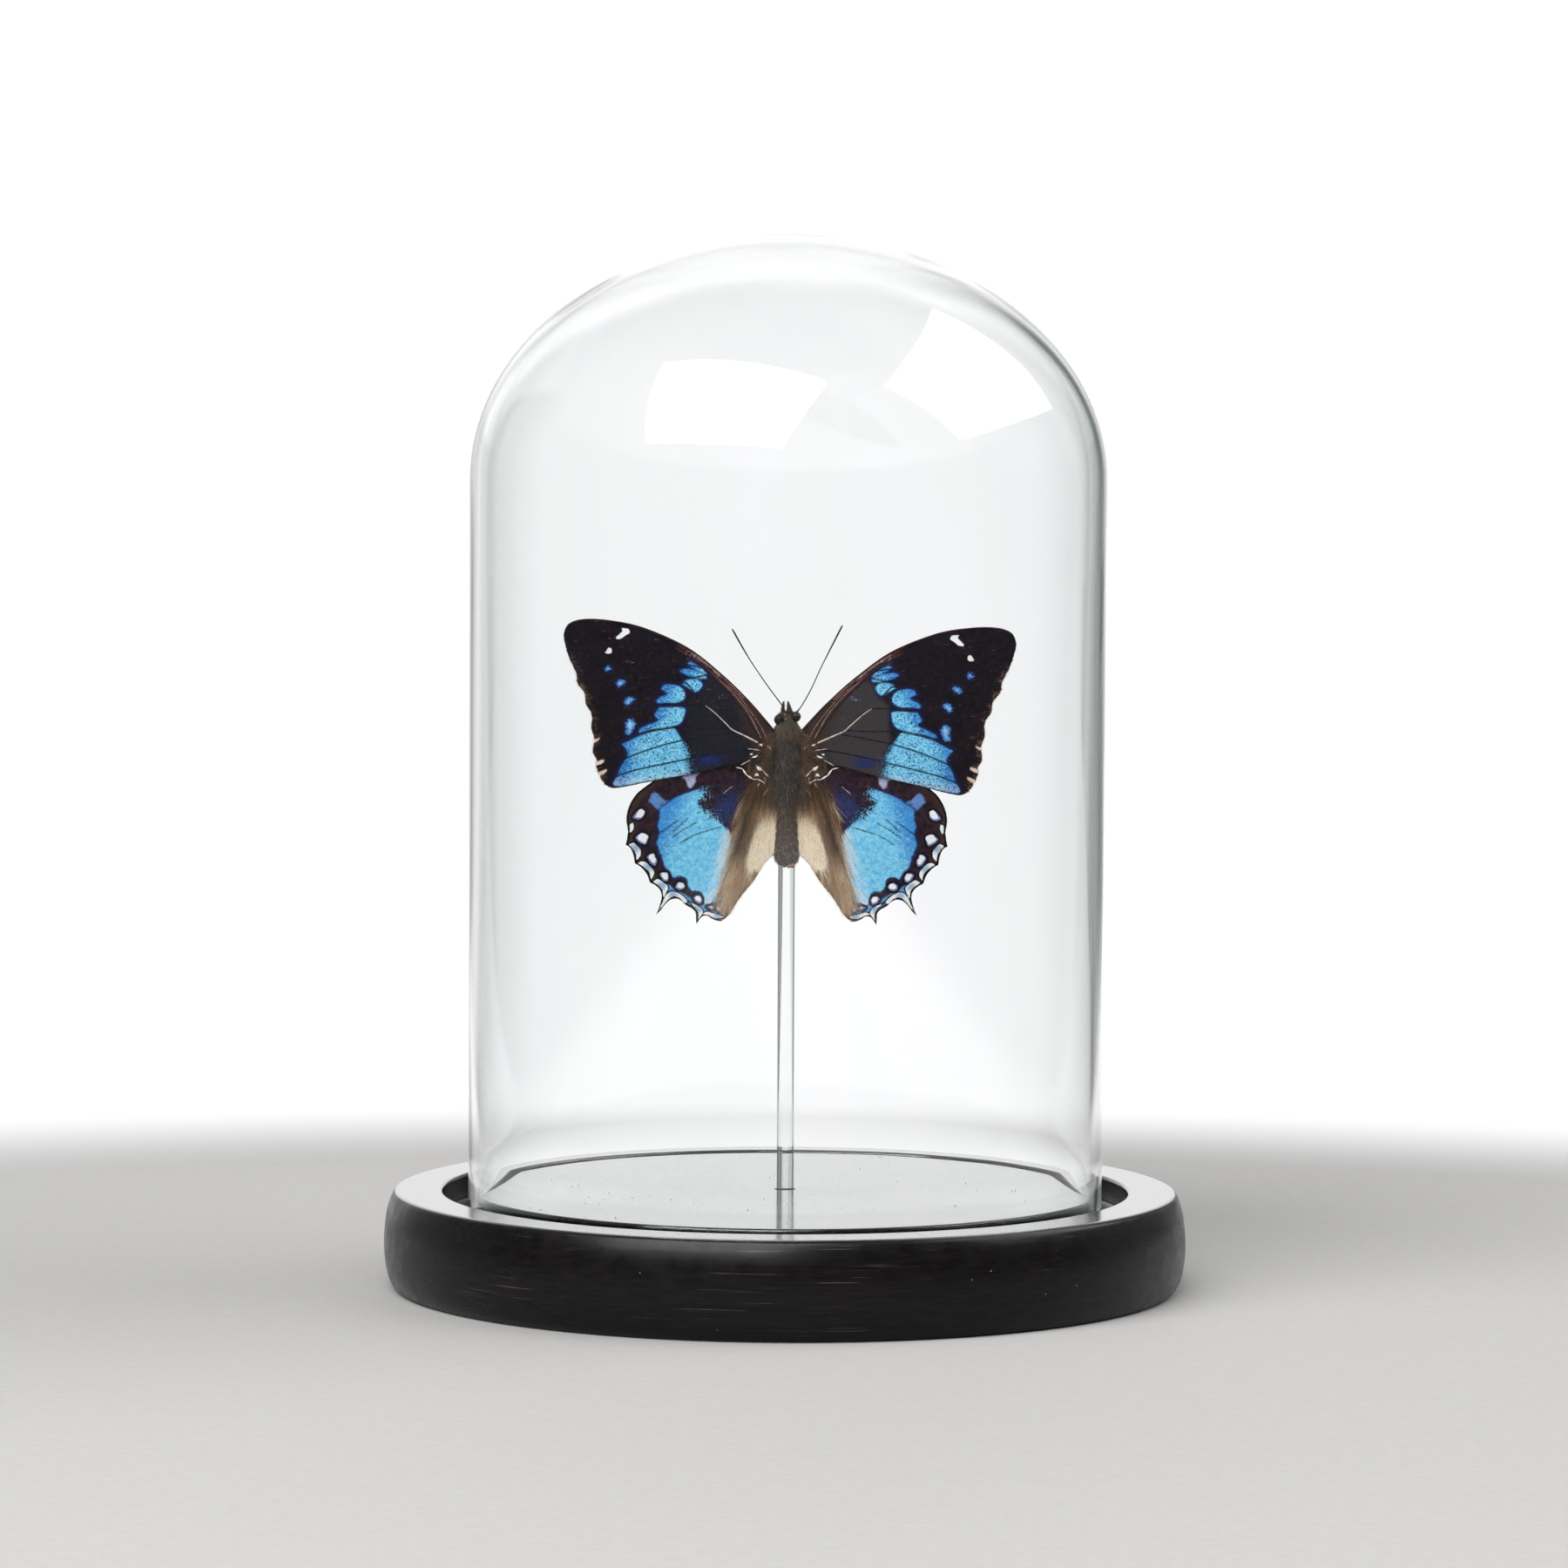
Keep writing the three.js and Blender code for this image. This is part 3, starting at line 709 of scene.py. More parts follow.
def clear_glass(name, tint, uneven):
    """Clear glass with faint wipe marks and a slightly uneven surface."""
    paint = Paint(name, Transmission_Weight=1.0, IOR=1.46, Specular_IOR_Level=0.5)
    wipes = paint.noise(paint.place((0.02, 0.02, 0.01)), 1.0, 4, 0.6, 0.5)
    colour = paint.mix(paint.ramp(wipes, 0.3, 0.7), tone(*tint), tone(255, 255, 255))
    roughness = paint.ramp(wipes, 0.5, 0.8, 0.0, 0.003)
    waves = paint.noise(paint.place((0.04, 0.04, 0.012)), 1.0, 1)
    return paint.done(colour, roughness, waves, uneven, 1.0)


def dust():
    paint = Paint("dust_specks", Roughness=0.9)
    return paint.done(paint.mix(paint.noise(paint.place(), 2.0), tone(150, 140, 128), tone(235, 232, 226)))


class Scales(Paint):
    """The upper side of a wing: markings laid over each other and broken up by the grain of the scales."""

    def __init__(self, name, fineness, coarseness):
        super().__init__(name, Roughness=0.6, Specular_IOR_Level=0.06)
        where = self.place()
        self.grains = self.noise(where, fineness, 2.5, 0.7)
        self.rough = self.noise(where, coarseness, 3, 0.6)
        self.dither = self.math("SUBTRACT", self.grains, 0.5)
        self.colour = None

    def loose(self, name, amount, by=None):
        """A named value of the points, broken up by an amount of the grain or of another pattern."""
        pattern = self.dither if by is None else by
        return self.math("ADD", self.value(name), self.math("MULTIPLY", pattern, amount))

    def lay(self, amount, colour):
        self.colour = self.mix(amount, self.colour, colour)

    def marking(self, name, looseness, low, high, strength, colour):
        """Lays a colour where a named value goes from low to high."""
        self.lay(self.ramp(self.loose(name, looseness), low, high, 0.0, strength), tone(*colour))

    def blue(self, amount, pale, deep, cover):
        """Lays blue scales, deeper or paler where asked, with dark and light grains between them."""
        blue = self.mix(self.ramp(self.rough, 0.3, 0.65), tone(98, 196, 250), tone(146, 226, 255))
        blue = self.mix(deep, blue, tone(68, 152, 226))
        blue = self.mix(pale, blue, tone(222, 232, 240))
        blue = self.mix(self.ramp(self.grains, 0.3, 0.44, 0.6, 0.0), blue, tone(166, 226, 246))
        blue = self.mix(self.ramp(self.grains, 0.5, 0.62, 0.0, cover), blue, tone(20, 46, 98))
        self.lay(amount, blue)

    def finished(self):
        return self.done(self.colour, None, self.grains, 0.03, 0.6)


def forewing_upper():
    paint = Scales("forewing_scales", 3.1, 1.3)
    streak = paint.noise(paint.place((0.22, 0.4, 4.0)), 1.0, 3, 0.6)
    outer = paint.mix(paint.ramp(paint.rough, 0.3, 0.7), tone(12, 6, 18), tone(31, 18, 25))
    inner = paint.mix(paint.ramp(paint.grains, 0.3, 0.7), tone(20, 21, 31), tone(38, 37, 47))
    # Painted light: on the right wing only, the inner field is mixed towards a lighter grey-brown.
    inner = paint.mix(paint.math("MULTIPLY", paint.value("lit"), 0.4), inner, tone(86, 80, 78))
    paint.colour = paint.mix(paint.ramp(paint.value("inner_field"), -0.8, 0.5), outer, inner)
    brown = paint.ramp(streak, 0.62, 0.68, 0.0, 0.55)
    brown = paint.math("MULTIPLY", brown, paint.ramp(paint.rough, 0.52, 0.58))
    paint.lay(brown, tone(124, 84, 72))
    paint.marking("costal", 0.8, 0.2, 0.8, 0.7, (92, 50, 44))
    paint.marking("sheen", 3.0, 0.6, 1.2, 0.6, (196, 166, 152))
    paint.marking("root", 1.2, 0.2, 0.8, 0.75, (60, 46, 39))
    paint.marking("navy", 1.6, 0.4, 0.95, 0.85, (32, 44, 98))
    paint.marking("fleck", 4.5, 1.0, 1.3, 0.8, (116, 128, 176))
    worn = paint.ramp(paint.rough, 0.46, 0.62, 0.1, 0.8)
    worn = paint.math("MULTIPLY", paint.ramp(paint.loose("rim", 4.0), 1.3, 0.0), worn)
    paint.lay(worn, tone(128, 98, 74))
    paint.marking("edge", 0.0, 0.2, 0.06, 0.7, (48, 34, 30))
    paint.marking("spot", 2.6, -0.4, 0.0, 0.6, (30, 42, 104))
    paint.marking("spot", 1.6, -0.02, 0.2, 1.0, (72, 142, 214))
    paint.marking("spot", 1.6, 0.34, 0.62, 0.8, (176, 214, 240))
    paint.marking("blue", 2.6, -0.7, 0.1, 0.85, (26, 34, 92))
    pale = paint.math("MULTIPLY", paint.value("pale"), 0.35)
    deep = paint.ramp(paint.loose("deep", 1.0), 0.2, 0.8)
    paint.blue(paint.ramp(paint.loose("blue", paint.value("softness")), -0.1, 0.2), pale, deep, 0.9)
    paint.marking("vein", 0.5, 0.23, 0.06, 0.97, (14, 18, 36))
    paint.marking("dash", 0.6, -0.1, 0.1, 1.0, (244, 216, 200))
    paint.marking("white", 0.3, -0.06, 0.08, 1.0, (255, 255, 255))
    return paint.finished()


def hindwing_upper():
    paint = Scales("hindwing_scales", 3.3, 1.1)
    # Streaks fan out from the root, along the hair.
    fan = paint.feed(paint.new("CombineXYZ"), {"X": paint.value("fan"), "Y": paint.value("run")})[0]
    strands = paint.noise(fan, 1.0, 3, 0.65)
    combed = paint.math("SUBTRACT", strands, 0.5)
    paint.colour = paint.mix(paint.ramp(paint.rough, 0.35, 0.7), tone(34, 18, 28), tone(60, 38, 44))
    paint.marking("rim", 0.0, 2.2, 0.0, 0.55, (84, 60, 44))
    paint.marking("navy", 3.4, 0.3, 1.0, 0.85, (44, 60, 108))

    tan = paint.mix(paint.ramp(strands, 0.38, 0.62), tone(84, 60, 42), tone(178, 140, 100))
    cream = paint.mix(paint.ramp(paint.grains, 0.42, 0.66), tone(255, 246, 224), tone(230, 208, 174))
    cream = paint.mix(paint.ramp(strands, 0.4, 0.7, 0.0, 0.5), cream, tone(214, 188, 152))
    hairy = paint.mix(paint.ramp(paint.loose("cream", 2.2, combed), -0.3, 0.5), tan, cream)
    hairy = paint.mix(paint.value("shaded"), hairy, paint.mix(strands, tone(38, 29, 26), tone(84, 62, 48)))
    paint.lay(paint.ramp(paint.loose("furred", 1.2, combed), 0.3, 0.7), hairy)

    bar = paint.mix(paint.value("whitish"), tone(104, 156, 216), tone(206, 208, 236))
    bar = paint.mix(paint.ramp(paint.grains, 0.46, 0.62, 0.0, 0.7), bar, tone(92, 92, 168))
    paint.lay(paint.ramp(paint.loose("violet", 1.2), -0.1, 0.25, 0.0, 0.95), bar)
    paint.marking("blue", 2.4, -0.7, 0.2, 0.9, (28, 38, 100))
    combing = paint.math("MULTIPLY", combed, paint.value("combing"))
    amount = paint.math("ADD", paint.loose("blue", paint.value("softness")), combing)
    pale = paint.ramp(paint.math("ADD", paint.value("pale"), combing), 0.1, 0.9, 0.0, 0.95)
    deep = paint.ramp(paint.loose("deep", 1.0), 0.2, 0.9)
    paint.blue(paint.ramp(amount, -0.1, 0.25), pale, deep, 0.26)
    paint.marking("streak", 0.7, 0.2, 0.0, 0.97, (14, 26, 58))
    paint.marking("vein", 0.5, 0.14, 0.0, 0.3, (34, 60, 100))

    band = paint.ramp(paint.value("blue_bits"), -0.15, 0.2)
    paint.lay(paint.math("MULTIPLY", band, paint.ramp(paint.grains, 0.66, 0.52)), tone(92, 164, 224))
    paint.marking("spot", 0.5, -0.62, -0.36, 1.0, (15, 10, 24))
    paint.marking("spot", 0.5, -0.1, 0.06, 1.0, (132, 138, 200))
    glint = paint.math("ADD", paint.loose("spot", 0.5), paint.math("MULTIPLY", paint.value("tilt"), 0.22))
    paint.lay(paint.ramp(glint, 0.1, 0.26), tone(255, 255, 255))
    paint.marking("edge", 0.0, 0.46, 0.34, 1.0, (12, 10, 16))
    paint.marking("lunule", 0.3, -0.3, -0.1, 1.0, (12, 10, 18))
    middle = paint.ramp(paint.loose("middle", 1.6), 0.3, 1.3, 0.85, 0.0)
    shade = paint.mix(middle, tone(255, 255, 255), tone(142, 178, 212))
    paint.lay(paint.ramp(paint.loose("lunule", 0.3), -0.02, 0.1), shade)
    return paint.finished()


def wing_under(name):
    """Muted brown underside with a paler band and wavy dark lines."""
    paint = Paint(name, Roughness=0.7, Specular_IOR_Level=0.25, Sheen_Weight=0.05)
    where = paint.place()
    grains = paint.noise(where, 4.2, 2, 0.6)
    rough = paint.noise(where, 0.5, 3, 0.5)
    reach = paint.math("ADD", paint.value("reach"), paint.math("MULTIPLY", rough, 3.2))
    colour = paint.mix(paint.ramp(rough, 0.3, 0.7), tone(104, 82, 64), tone(138, 114, 92))
    band = paint.math("MULTIPLY", paint.ramp(reach, 17.0, 17.8), paint.ramp(reach, 21.8, 21.0))
    colour = paint.mix(band, colour, tone(206, 196, 176))
    wave = paint.math("SINE", paint.math("MULTIPLY", reach, 1.35))
    colour = paint.mix(paint.ramp(wave, 0.82, 0.97, 0.0, 0.8), colour, tone(52, 38, 34))
    colour = paint.mix(paint.ramp(paint.value("rim"), 1.2, 0.4, 0.0, 0.8), colour, tone(70, 54, 46))
    colour = paint.mix(paint.ramp(grains, 0.45, 0.75, 0.0, 0.5), colour, tone(66, 52, 44))
    return paint.done(colour, None, grains, 0.03, 0.6)


def wing_vein():
    """Vein tubes: dark, or pale and horny where their value says so, and near white at the highest values, a
    painted highlight.
    """
    paint = Paint("wing_vein", Roughness=0.5, Specular_IOR_Level=0.03)
    uneven = paint.noise(paint.place(), 2.5, 3)
    pale = paint.value("pale_vein")
    light = paint.mix(paint.ramp(pale, 0.5, 1.0), tone(158, 104, 88), tone(222, 204, 190))
    # Near white at the top of the range: a painted highlight on the palest plates.
    light = paint.mix(paint.ramp(pale, 1.1, 1.5), light, tone(255, 250, 244))
    dark = paint.mix(uneven, tone(14, 11, 18), tone(38, 28, 30))
    amount = paint.math("MULTIPLY", pale, paint.ramp(uneven, 0.34, 0.55, 0.35, 1.3))
    return paint.done(paint.mix(amount, dark, light), None, uneven)


def wing_fur():
    """Hair of the wing roots and the hindwing's inner part, darker where its value says so."""
    paint = Paint("wing_hair", Roughness=0.5, Specular_IOR_Level=0.15)
    uneven = paint.noise(paint.place(), 1.5, 2)
    colour = paint.mix(paint.value("along"), tone(122, 84, 54), tone(228, 176, 122))
    colour = paint.mix(paint.value("strand"), colour, tone(255, 240, 214))
    colour = paint.mix(paint.math("MULTIPLY", paint.value("dark"), 0.95), colour, tone(64, 48, 39))
    return paint.done(paint.mix(paint.ramp(uneven, 0.45, 0.8, 0.0, 0.3), colour, tone(80, 58, 42)))


def fur(name, root, tip, brown, light):
    """Hair that runs from a root to a tip colour, browner where its value says so, with lighter strands."""
    paint = Paint(name, Roughness=0.55, Specular_IOR_Level=0.15)
    uneven = paint.noise(paint.place(), 1.2, 2)
    colour = paint.mix(paint.value("along"), tone(*root), tone(*tip))
    colour = paint.mix(paint.math("MULTIPLY", paint.value("brown"), 0.85), colour, tone(*brown))
    colour = paint.mix(paint.value("strand"), colour, tone(*light))
    return paint.done(paint.mix(paint.ramp(uneven, 0.4, 0.8, 0.0, 0.4), colour, tone(*root)))


def skin(name, dark, light, roughness=0.6, scale=3.0):
    """Scaly or leathery skin of the body."""
    paint = Paint(name, Roughness=roughness, Specular_IOR_Level=0.4)
    fine = paint.noise(paint.place(), scale, 4, 0.65)
    colour = paint.mix(paint.ramp(fine, 0.3, 0.7), tone(*dark), tone(*light))
    return paint.done(colour, None, fine, 0.12, 0.8)


def abdomen_skin():
    """Brown rings, and reddish claspers where the tip value says so."""
    paint = Paint("abdomen_skin", Roughness=0.55, Specular_IOR_Level=0.3)
    fine = paint.noise(paint.place(), 3.0, 4, 0.65)
    colour = paint.mix(paint.ramp(fine, 0.3, 0.7), tone(40, 30, 26), tone(90, 70, 58))
    reddish = paint.mix(paint.ramp(fine, 0.35, 0.65), tone(88, 50, 40), tone(208, 160, 136))
    return paint.done(paint.mix(paint.value("tip"), colour, reddish), None, fine, 0.12, 0.8)


def eye_skin():
    """Dark, glossy compound eye with its facets."""
    paint = Paint("eye", Roughness=0.2, Specular_IOR_Level=0.35)
    facets = paint.cells(7.0)
    colour = paint.mix(paint.ramp(facets, 0.2, 0.6), tone(52, 38, 32), tone(20, 14, 13))
    return paint.done(colour, None, facets, 0.04, 0.5)


# ---- Base, dome, rod and glue ----


def base_profile():
    return rounded(
        [
            (0, 0),
            (UNDERSIDE_RADIUS, 0, 0.5),
            *smooth_line(BASE_SIDE, 1.0).tolist(),
            (TOP_EDGE_RADIUS, BASE_HEIGHT, 0.9),
            (GROOVE_RADIUS, BASE_HEIGHT, 0.7),
            (GROOVE_RADIUS, GROOVE_FLOOR, 0.5),
            (PLATEAU_RADIUS, GROOVE_FLOOR, 0.5),
            (PLATEAU_RADIUS, BASE_HEIGHT, 0.6),
            (HOLE_RADIUS, BASE_HEIGHT, 0.2),
            (HOLE_RADIUS, HOLE_FLOOR, 0.1),
            (0, HOLE_FLOOR),
        ]
    )


def add_specks(build, places, rng):
    """Dust: tiny uneven grains at the given places."""
    for place in places:
        size = rng.uniform(0.05, 0.14, 3)
        points, faces = ball((0, 0, 0), size, 6, 5, 0.4, int(rng.integers(1000)))
        build.add(points + place, faces, 1)


def make_base():
    build = Build()
    points, faces = lathe(base_profile(), SMOOTH_SIDES)
    build.add(points, faces)
    for index, face in enumerate(build.faces):
        x, y, height = points[face].mean(axis=0)
        if math.hypot(x, y) > SIDE_PAINT_RADIUS and height < SIDE_PAINT_TOP:
            build.finishes[index] = 2
    rng = np.random.default_rng(21)
    radii = 54 * np.sqrt(rng.uniform(0.02, 1, 36))
    angles = rng.uniform(0, 2 * math.pi, 36)
    add_specks(build, polar(radii, angles, BASE_HEIGHT + 0.03), rng)
    top = black_paint("base_top_paint", 1.0, 1.6, 0.01, 0.02)
    side = black_paint("base_side_paint", 0.08, 1.3, 0.015, 0.1)
    build.piece("turned_base", [top, dust(), side], "base")


def cap_profile(radius, rise, steps=36):
    """The round top of a bell, from its equator to the axis."""
    turns = [step / steps * math.pi / 2 for step in range(steps)]
    rings = [(radius * math.cos(turn), DOME_EQUATOR + rise * math.sin(turn)) for turn in turns]
    return [*rings, (0, DOME_EQUATOR + rise)]


def make_dome():
    build = Build()
    inner = DOME_RADIUS - DOME_WALL
    levels = np.linspace(GROOVE_FLOOR + 12, DOME_EQUATOR - 8, 8)
    profile = [
        *reversed(cap_profile(inner, DOME_RISE - DOME_WALL)),
        *[(inner, level) for level in reversed(levels)],
    ]
    for turn in np.linspace(0, math.pi, 11):  # the fire-polished foot
        profile.append((DOME_RADIUS - 1 - math.cos(turn), GROOVE_FLOOR + 1 - math.sin(turn)))
    profile.extend((DOME_RADIUS, level) for level in levels)
    profile.extend(cap_profile(DOME_RADIUS, DOME_RISE))
    points, faces = lathe(profile, SMOOTH_SIDES)
    build.add(points, faces)
    # Some dust sticks to the inner side of the wall, low down at the front.
    rng = np.random.default_rng(22)
    angles = rng.normal(-1.9, 0.28, 40)
    heights = 21 + rng.exponential(2.4, 40)
    add_specks(build, polar(inner - 0.03, angles, heights), rng)
    materials = [clear_glass("dome_glass", (252, 254, 253), 0.15), dust()]
    build.piece("dome", materials, "glass_dome")


def make_rod():
    build = Build()
    profile = [(0, HOLE_FLOOR), (ROD_RADIUS, HOLE_FLOOR, 0.15), (ROD_RADIUS, ROD_TOP, 0.4), (0, ROD_TOP)]
    points, faces = lathe(rounded(profile), 64)
    build.add(points, faces)
    build.piece("rod", [clear_glass("rod_glass", (246, 251, 244), 0.05)], "support_rod")


def make_glue():
    """A dab of clear glue that has run round the front half of the rod and onto the thorax."""
    build = Build()
    across, along, hold = 28, 18, 1.72
    row, column = np.divmod(np.arange(along * across), across)
    rise = math.pi * ((row + 0.5) / along - 0.5)
    turn = math.pi * (1 + (column + 0.5) / across)
    inner = polar(hold, turn, 98 + 3.5 * np.sin(rise))
    lump = 1 + 0.05 * np.sin(3 * turn + 2 * rise)
    bulge = polar(lump, turn, 0) * (2.35, 1.9, 0) - polar(0.9 * hold, turn, 0)
    outer = inner + bulge * (0.75 * np.cos(rise) ** 0.6)[:, None]
    corners = [i * across + j for i in range(along - 1) for j in range(across - 1)]
    front = [(a, a + 1, a + across + 1, a + across) for a in corners]
    build.add(np.vstack([outer, inner]), thickened(front, along * across))
    build.piece("glue", [clear_glass("clear_glue", (248, 244, 228), 0.3)], "glue_dab")


# ---- Wings ----

# Numbers of a wing's materials.
UPPER, UNDER, VEIN, WING_HAIR = 0, 1, 2, 3


class Wing:
    """Where one wing lies: its side, its depth in front of the body's axis, its tip's droop and its arch."""

    def __init__(self, side, depth, droop, belly):
        self.side = side
        self.depth = depth
        self.droop = math.radians(droop)
        self.belly = belly

    def at(self, flat, off=0.0):
        """Points of the wing's plane in space; off is measured towards the upper side."""
        flat = np.asarray(flat, float)
        out, height = flat[:, 0] - WING_ROOT, flat[:, 1]
        turned = out * math.cos(self.droop) + height * math.sin(self.droop)
        height = height * math.cos(self.droop) - out * math.sin(self.droop)
        rise = off + self.camber(flat)
        x = WING_ROOT + turned * math.cos(WING_RISE) - rise * math.sin(WING_RISE)
        y = BODY[1] + self.depth - turned * math.sin(WING_RISE) - rise * math.cos(WING_RISE)
        return np.stack([self.side * x, y, BODY[2] + height], axis=1)

    def camber(self, flat):
        """Gentle arch of the blade with slight waves towards the margin."""
        out, height = flat[:, 0], flat[:, 1]
        arch = self.belly * np.sin(clamp((out - 3) / 36) * math.pi)
        waves = 0.05 * np.sin(0.9 * height + 0.25 * out) * clamp((out - 8) / 20)
        return arch - self.belly / 2 + waves


def ragged_outline(stretches, rng, amount):
    """One closed outline from curves that meet end to end, with the slight unevenness of a scaly edge."""
    outline = np.vstack([smooth_line(stretch, 0.2)[:-1] for stretch in stretches])
    return outline + rng.normal(size=outline.shape) * amount


def wing_sheet(outline):
    """A fine mesh of a closed outline: flat points, triangles and each point's distance from the edge."""
    low, high = outline.min(axis=0), outline.max(axis=0)
    grid = []
    for index, y in enumerate(np.arange(low[1], high[1], WING_STEP * math.sqrt(0.75))):
        grid.extend((x, y) for x in np.arange(low[0] + (index % 2) * WING_STEP / 2, high[0], WING_STEP))
    grid = np.asarray(grid)
    grid = grid[is_inside(grid, outline)]
    grid = grid[path_distance(grid, closed(outline)) > WING_STEP * 0.55]
    rim = len(outline)
    edges = [(i, (i + 1) % rim) for i in range(rim)]
    made = delaunay_2d_cdt([Vector(point) for point in np.vstack([outline, grid])], edges, [], 1, 1e-6)
    flat = np.array([tuple(point) for point in made[0]])
    return flat, np.array(made[2]), path_distance(flat, closed(outline))


def add_blade(build, wing, flat, triangles, edge, named):
    """Both skins of the blade and its rim. Faces are wound so that each skin faces outwards."""
    thin = WING_HALF_THICKNESS * np.clip(0.25 + edge / 0.4, 0.25, 1)
    dip = VEIN_DIP * clamp(named["vein"] / 1.6)
    corners = flat[triangles]
    first, second = corners[:, 1] - corners[:, 0], corners[:, 2] - corners[:, 0]
    wound = (first[:, 0] * second[:, 1] - first[:, 1] * second[:, 0]) > 0
    # Seen from the upper side, outwards is to the right on the right wing and to the left on the left wing.
    keep = wound == (wing.side > 0)
    upper = np.where(keep[:, None], triangles, triangles[:, ::-1]).tolist()
    points = np.vstack([wing.at(flat, thin - dip), wing.at(flat, -thin - dip)])
    doubled = {key: np.concatenate([value, value]) for key, value in named.items()}
    build.add(points, thickened(upper, len(flat)), [UPPER, UNDER, UPPER], **doubled)


def add_veins(build, wing, paths, start_radius, end_radius, pale=0.0, lift=0.0):
    for path in paths:
        line = smooth_line(path, 0.4)
        radii = np.linspace(start_radius, end_radius, len(line))
        points, faces = tube(wing.at(line, lift), radii, 6)
        build.add(points, faces, VEIN, pale_vein=pale)


def add_plates(build, wing, rng):
    """Short, lumpy and flattened tubes for the pale bits at the wing roots, whose near-white colour is partly
    a painted highlight.
    """
    for path, width, pale in ROOT_PLATES:
        line = smooth_line(path, 0.1)
        share = np.linspace(0, 1, len(line))
        uneven = 1 + 0.35 * np.sin(share * len(line) * 0.45 + rng.uniform(0, 6))
        radii = width * np.sin(math.pi * np.clip(share, 0.06, 0.94)) ** 0.5 * uneven
        lift = 1.0 if line[0][1] < 0.5 else 1.15
        points, faces = tube(wing.at(line, lift), radii, 8, 0.6)
        build.add(points, faces, VEIN, pale_vein=pale)


def add_fringe(build, wing, line, rng, strand):
    """Short hairs that stand out from an edge."""
    path = smooth_line(line, 0.11)
    along = unit(np.gradient(path, axis=0))
    out = np.stack([-along[:, 1], along[:, 0]], axis=1)
    here = wing.at(path)
    there = wing.at(path + out * 0.5 + rng.normal(size=path.shape) * 0.12)
    lengths = 0.3 * rng.uniform(0.6, 1.2, len(path))
    shades = rng.uniform(*strand, len(path))
    hairs(build, WING_HAIR, rng, here, there - here, lengths, 0.07, 2, strand=shades)


def band_edge(height):
    """How far out the forewing's blue patches reach."""
    levels = [-4, 0, 4, 6, 9, 12, 14, 16, 18]
    return np.interp(height, levels, [32, 30.6, 30.6, 27.5, 24.5, 24, 23, 19.6, 18.5])


def forewing_values(flat, edge, side):
    out, height = flat[:, 0], flat[:, 1]
    lower = clamp((6.0 - height) / 2.5) * clamp((20.5 - out) / 3.5)
    return {
        "blue": depth_inside(flat, FOREWING_PATCHES, 0.4),
        "softness": 1.0 + 11.0 * lower,
        "spot": depth_inside(flat, FOREWING_SPOTS),
        "white": depth_inside(flat, FOREWING_WHITE),
        "dash": depth_inside(flat, FOREWING_DASHES),
        "inner_field": depth_inside(flat, [FOREWING_INNER_FIELD], 1.0),
        "navy": near(out - 14.5, 3.4) * near(height - 0.6 + 0.06 * (out - 14), 1.5),
        "fleck": near(out - 12.2, 1.5) * near(height - 12.3 + 0.2 * (out - 12), 0.5),
        "rim": path_distance(flat, smooth_line(FOREWING_MARGIN, 0.3)),
        "edge": edge,
        "vein": nearest_path(flat, FOREWING_VEINS),
        "pale": clamp((-1.0 - 0.12 * (out - 20) - height) / 1.2),
        # 1 on the right wing, whose inner field gets painted light.
        "lit": np.full(len(flat), 1.0 if side > 0 else 0.0),
        "costal": near(nearest_path(flat, FOREWING_COSTAL_LINES), 0.55) * clamp((22 - out) / 3),
        "sheen": near(nearest_path(flat, [FOREWING_SHEEN]), 0.6),
        "deep": clamp(1.0 - (band_edge(height) - out) / 4.5),
        "root": clamp((8.5 - out + 0.35 * (height - 3)) / 3.5),
        "reach": out,
    }


def fur_border(height):
    """How far out the furred inner part of the hindwing reaches."""
    return np.interp(-height, [1, 4, 8, 12, 17, 22, 27], [4.6, 6.4, 7.9, 8.8, 9.8, 11.1, 12.4])


def spot_tilt(flat):
    """How far each point lies towards the upper inner side of the nearest hindwing spot."""
    centres = np.array([np.mean(spot, axis=0) for spot in HINDWING_SPOTS])
    offsets = flat[:, None] - centres[None]
    nearest = np.argmin(np.linalg.norm(offsets, axis=2), axis=1)
    return np.clip(offsets[np.arange(len(flat)), nearest] @ np.array([-0.5, 0.85]), -1, 1)


def hindwing_values(flat, edge):
    out, height = flat[:, 0], flat[:, 1]
    border = fur_border(height)
    upper_edge = clamp((height + 12) / 3) * clamp((17.5 - out) / 3)
    return {
        "blue": depth_inside(flat, [HINDWING_FIELD], 0.5),
        "blue_bits": depth_inside(flat, [HINDWING_BLUE_BITS]),
        "softness": 1.0 + 9.0 * upper_edge,
        "whitish": clamp((20.6 - out) / 0.5),
        "combing": 0.6 + 5.0 * clamp((border + 3.5 - out) / 3.5),
        "pale": clamp((border + 4.6 - out) / 4.4) * clamp((-9.5 - height) / 4),
        "deep": clamp((out - 17.5 + 0.35 * (height + 14)) / 7),
        "violet": depth_inside(flat, HINDWING_VIOLET),
        "spot": depth_inside(flat, HINDWING_SPOTS),
        "tilt": spot_tilt(flat),
        "middle": np.min([np.linalg.norm(flat - point, axis=1) for point in LUNULE_MIDDLES], axis=0),
        "lunule": depth_inside(flat, HINDWING_LUNULES),
        "navy": near(out - 11.2, 3.6) * near(height + 8.4 + 0.55 * (out - 11.2), 3.6),
        "furred": clamp((border - out) / 2.2 + 0.5),
        "cream": depth_inside(flat, [HINDWING_CREAM], 0.8),
        "shaded": clamp((height + 7.9 + 0.25 * (out - 3)) / 2.3),
        "fan": np.arctan2(out - 3.5, -(height - 1)) * 42,
        "run": np.hypot(out - 3.5, height - 1) * 0.22,
        "edge": np.where(out < 13, edge + clamp((13 - out) * 0.4), edge),
        "rim": np.where(out > 17, edge, 9.0),
        "vein": nearest_path(flat, HINDWING_VEINS),
        "streak": nearest_path(flat, HINDWING_STREAKS),
        "reach": out - 0.4 * height,
    }


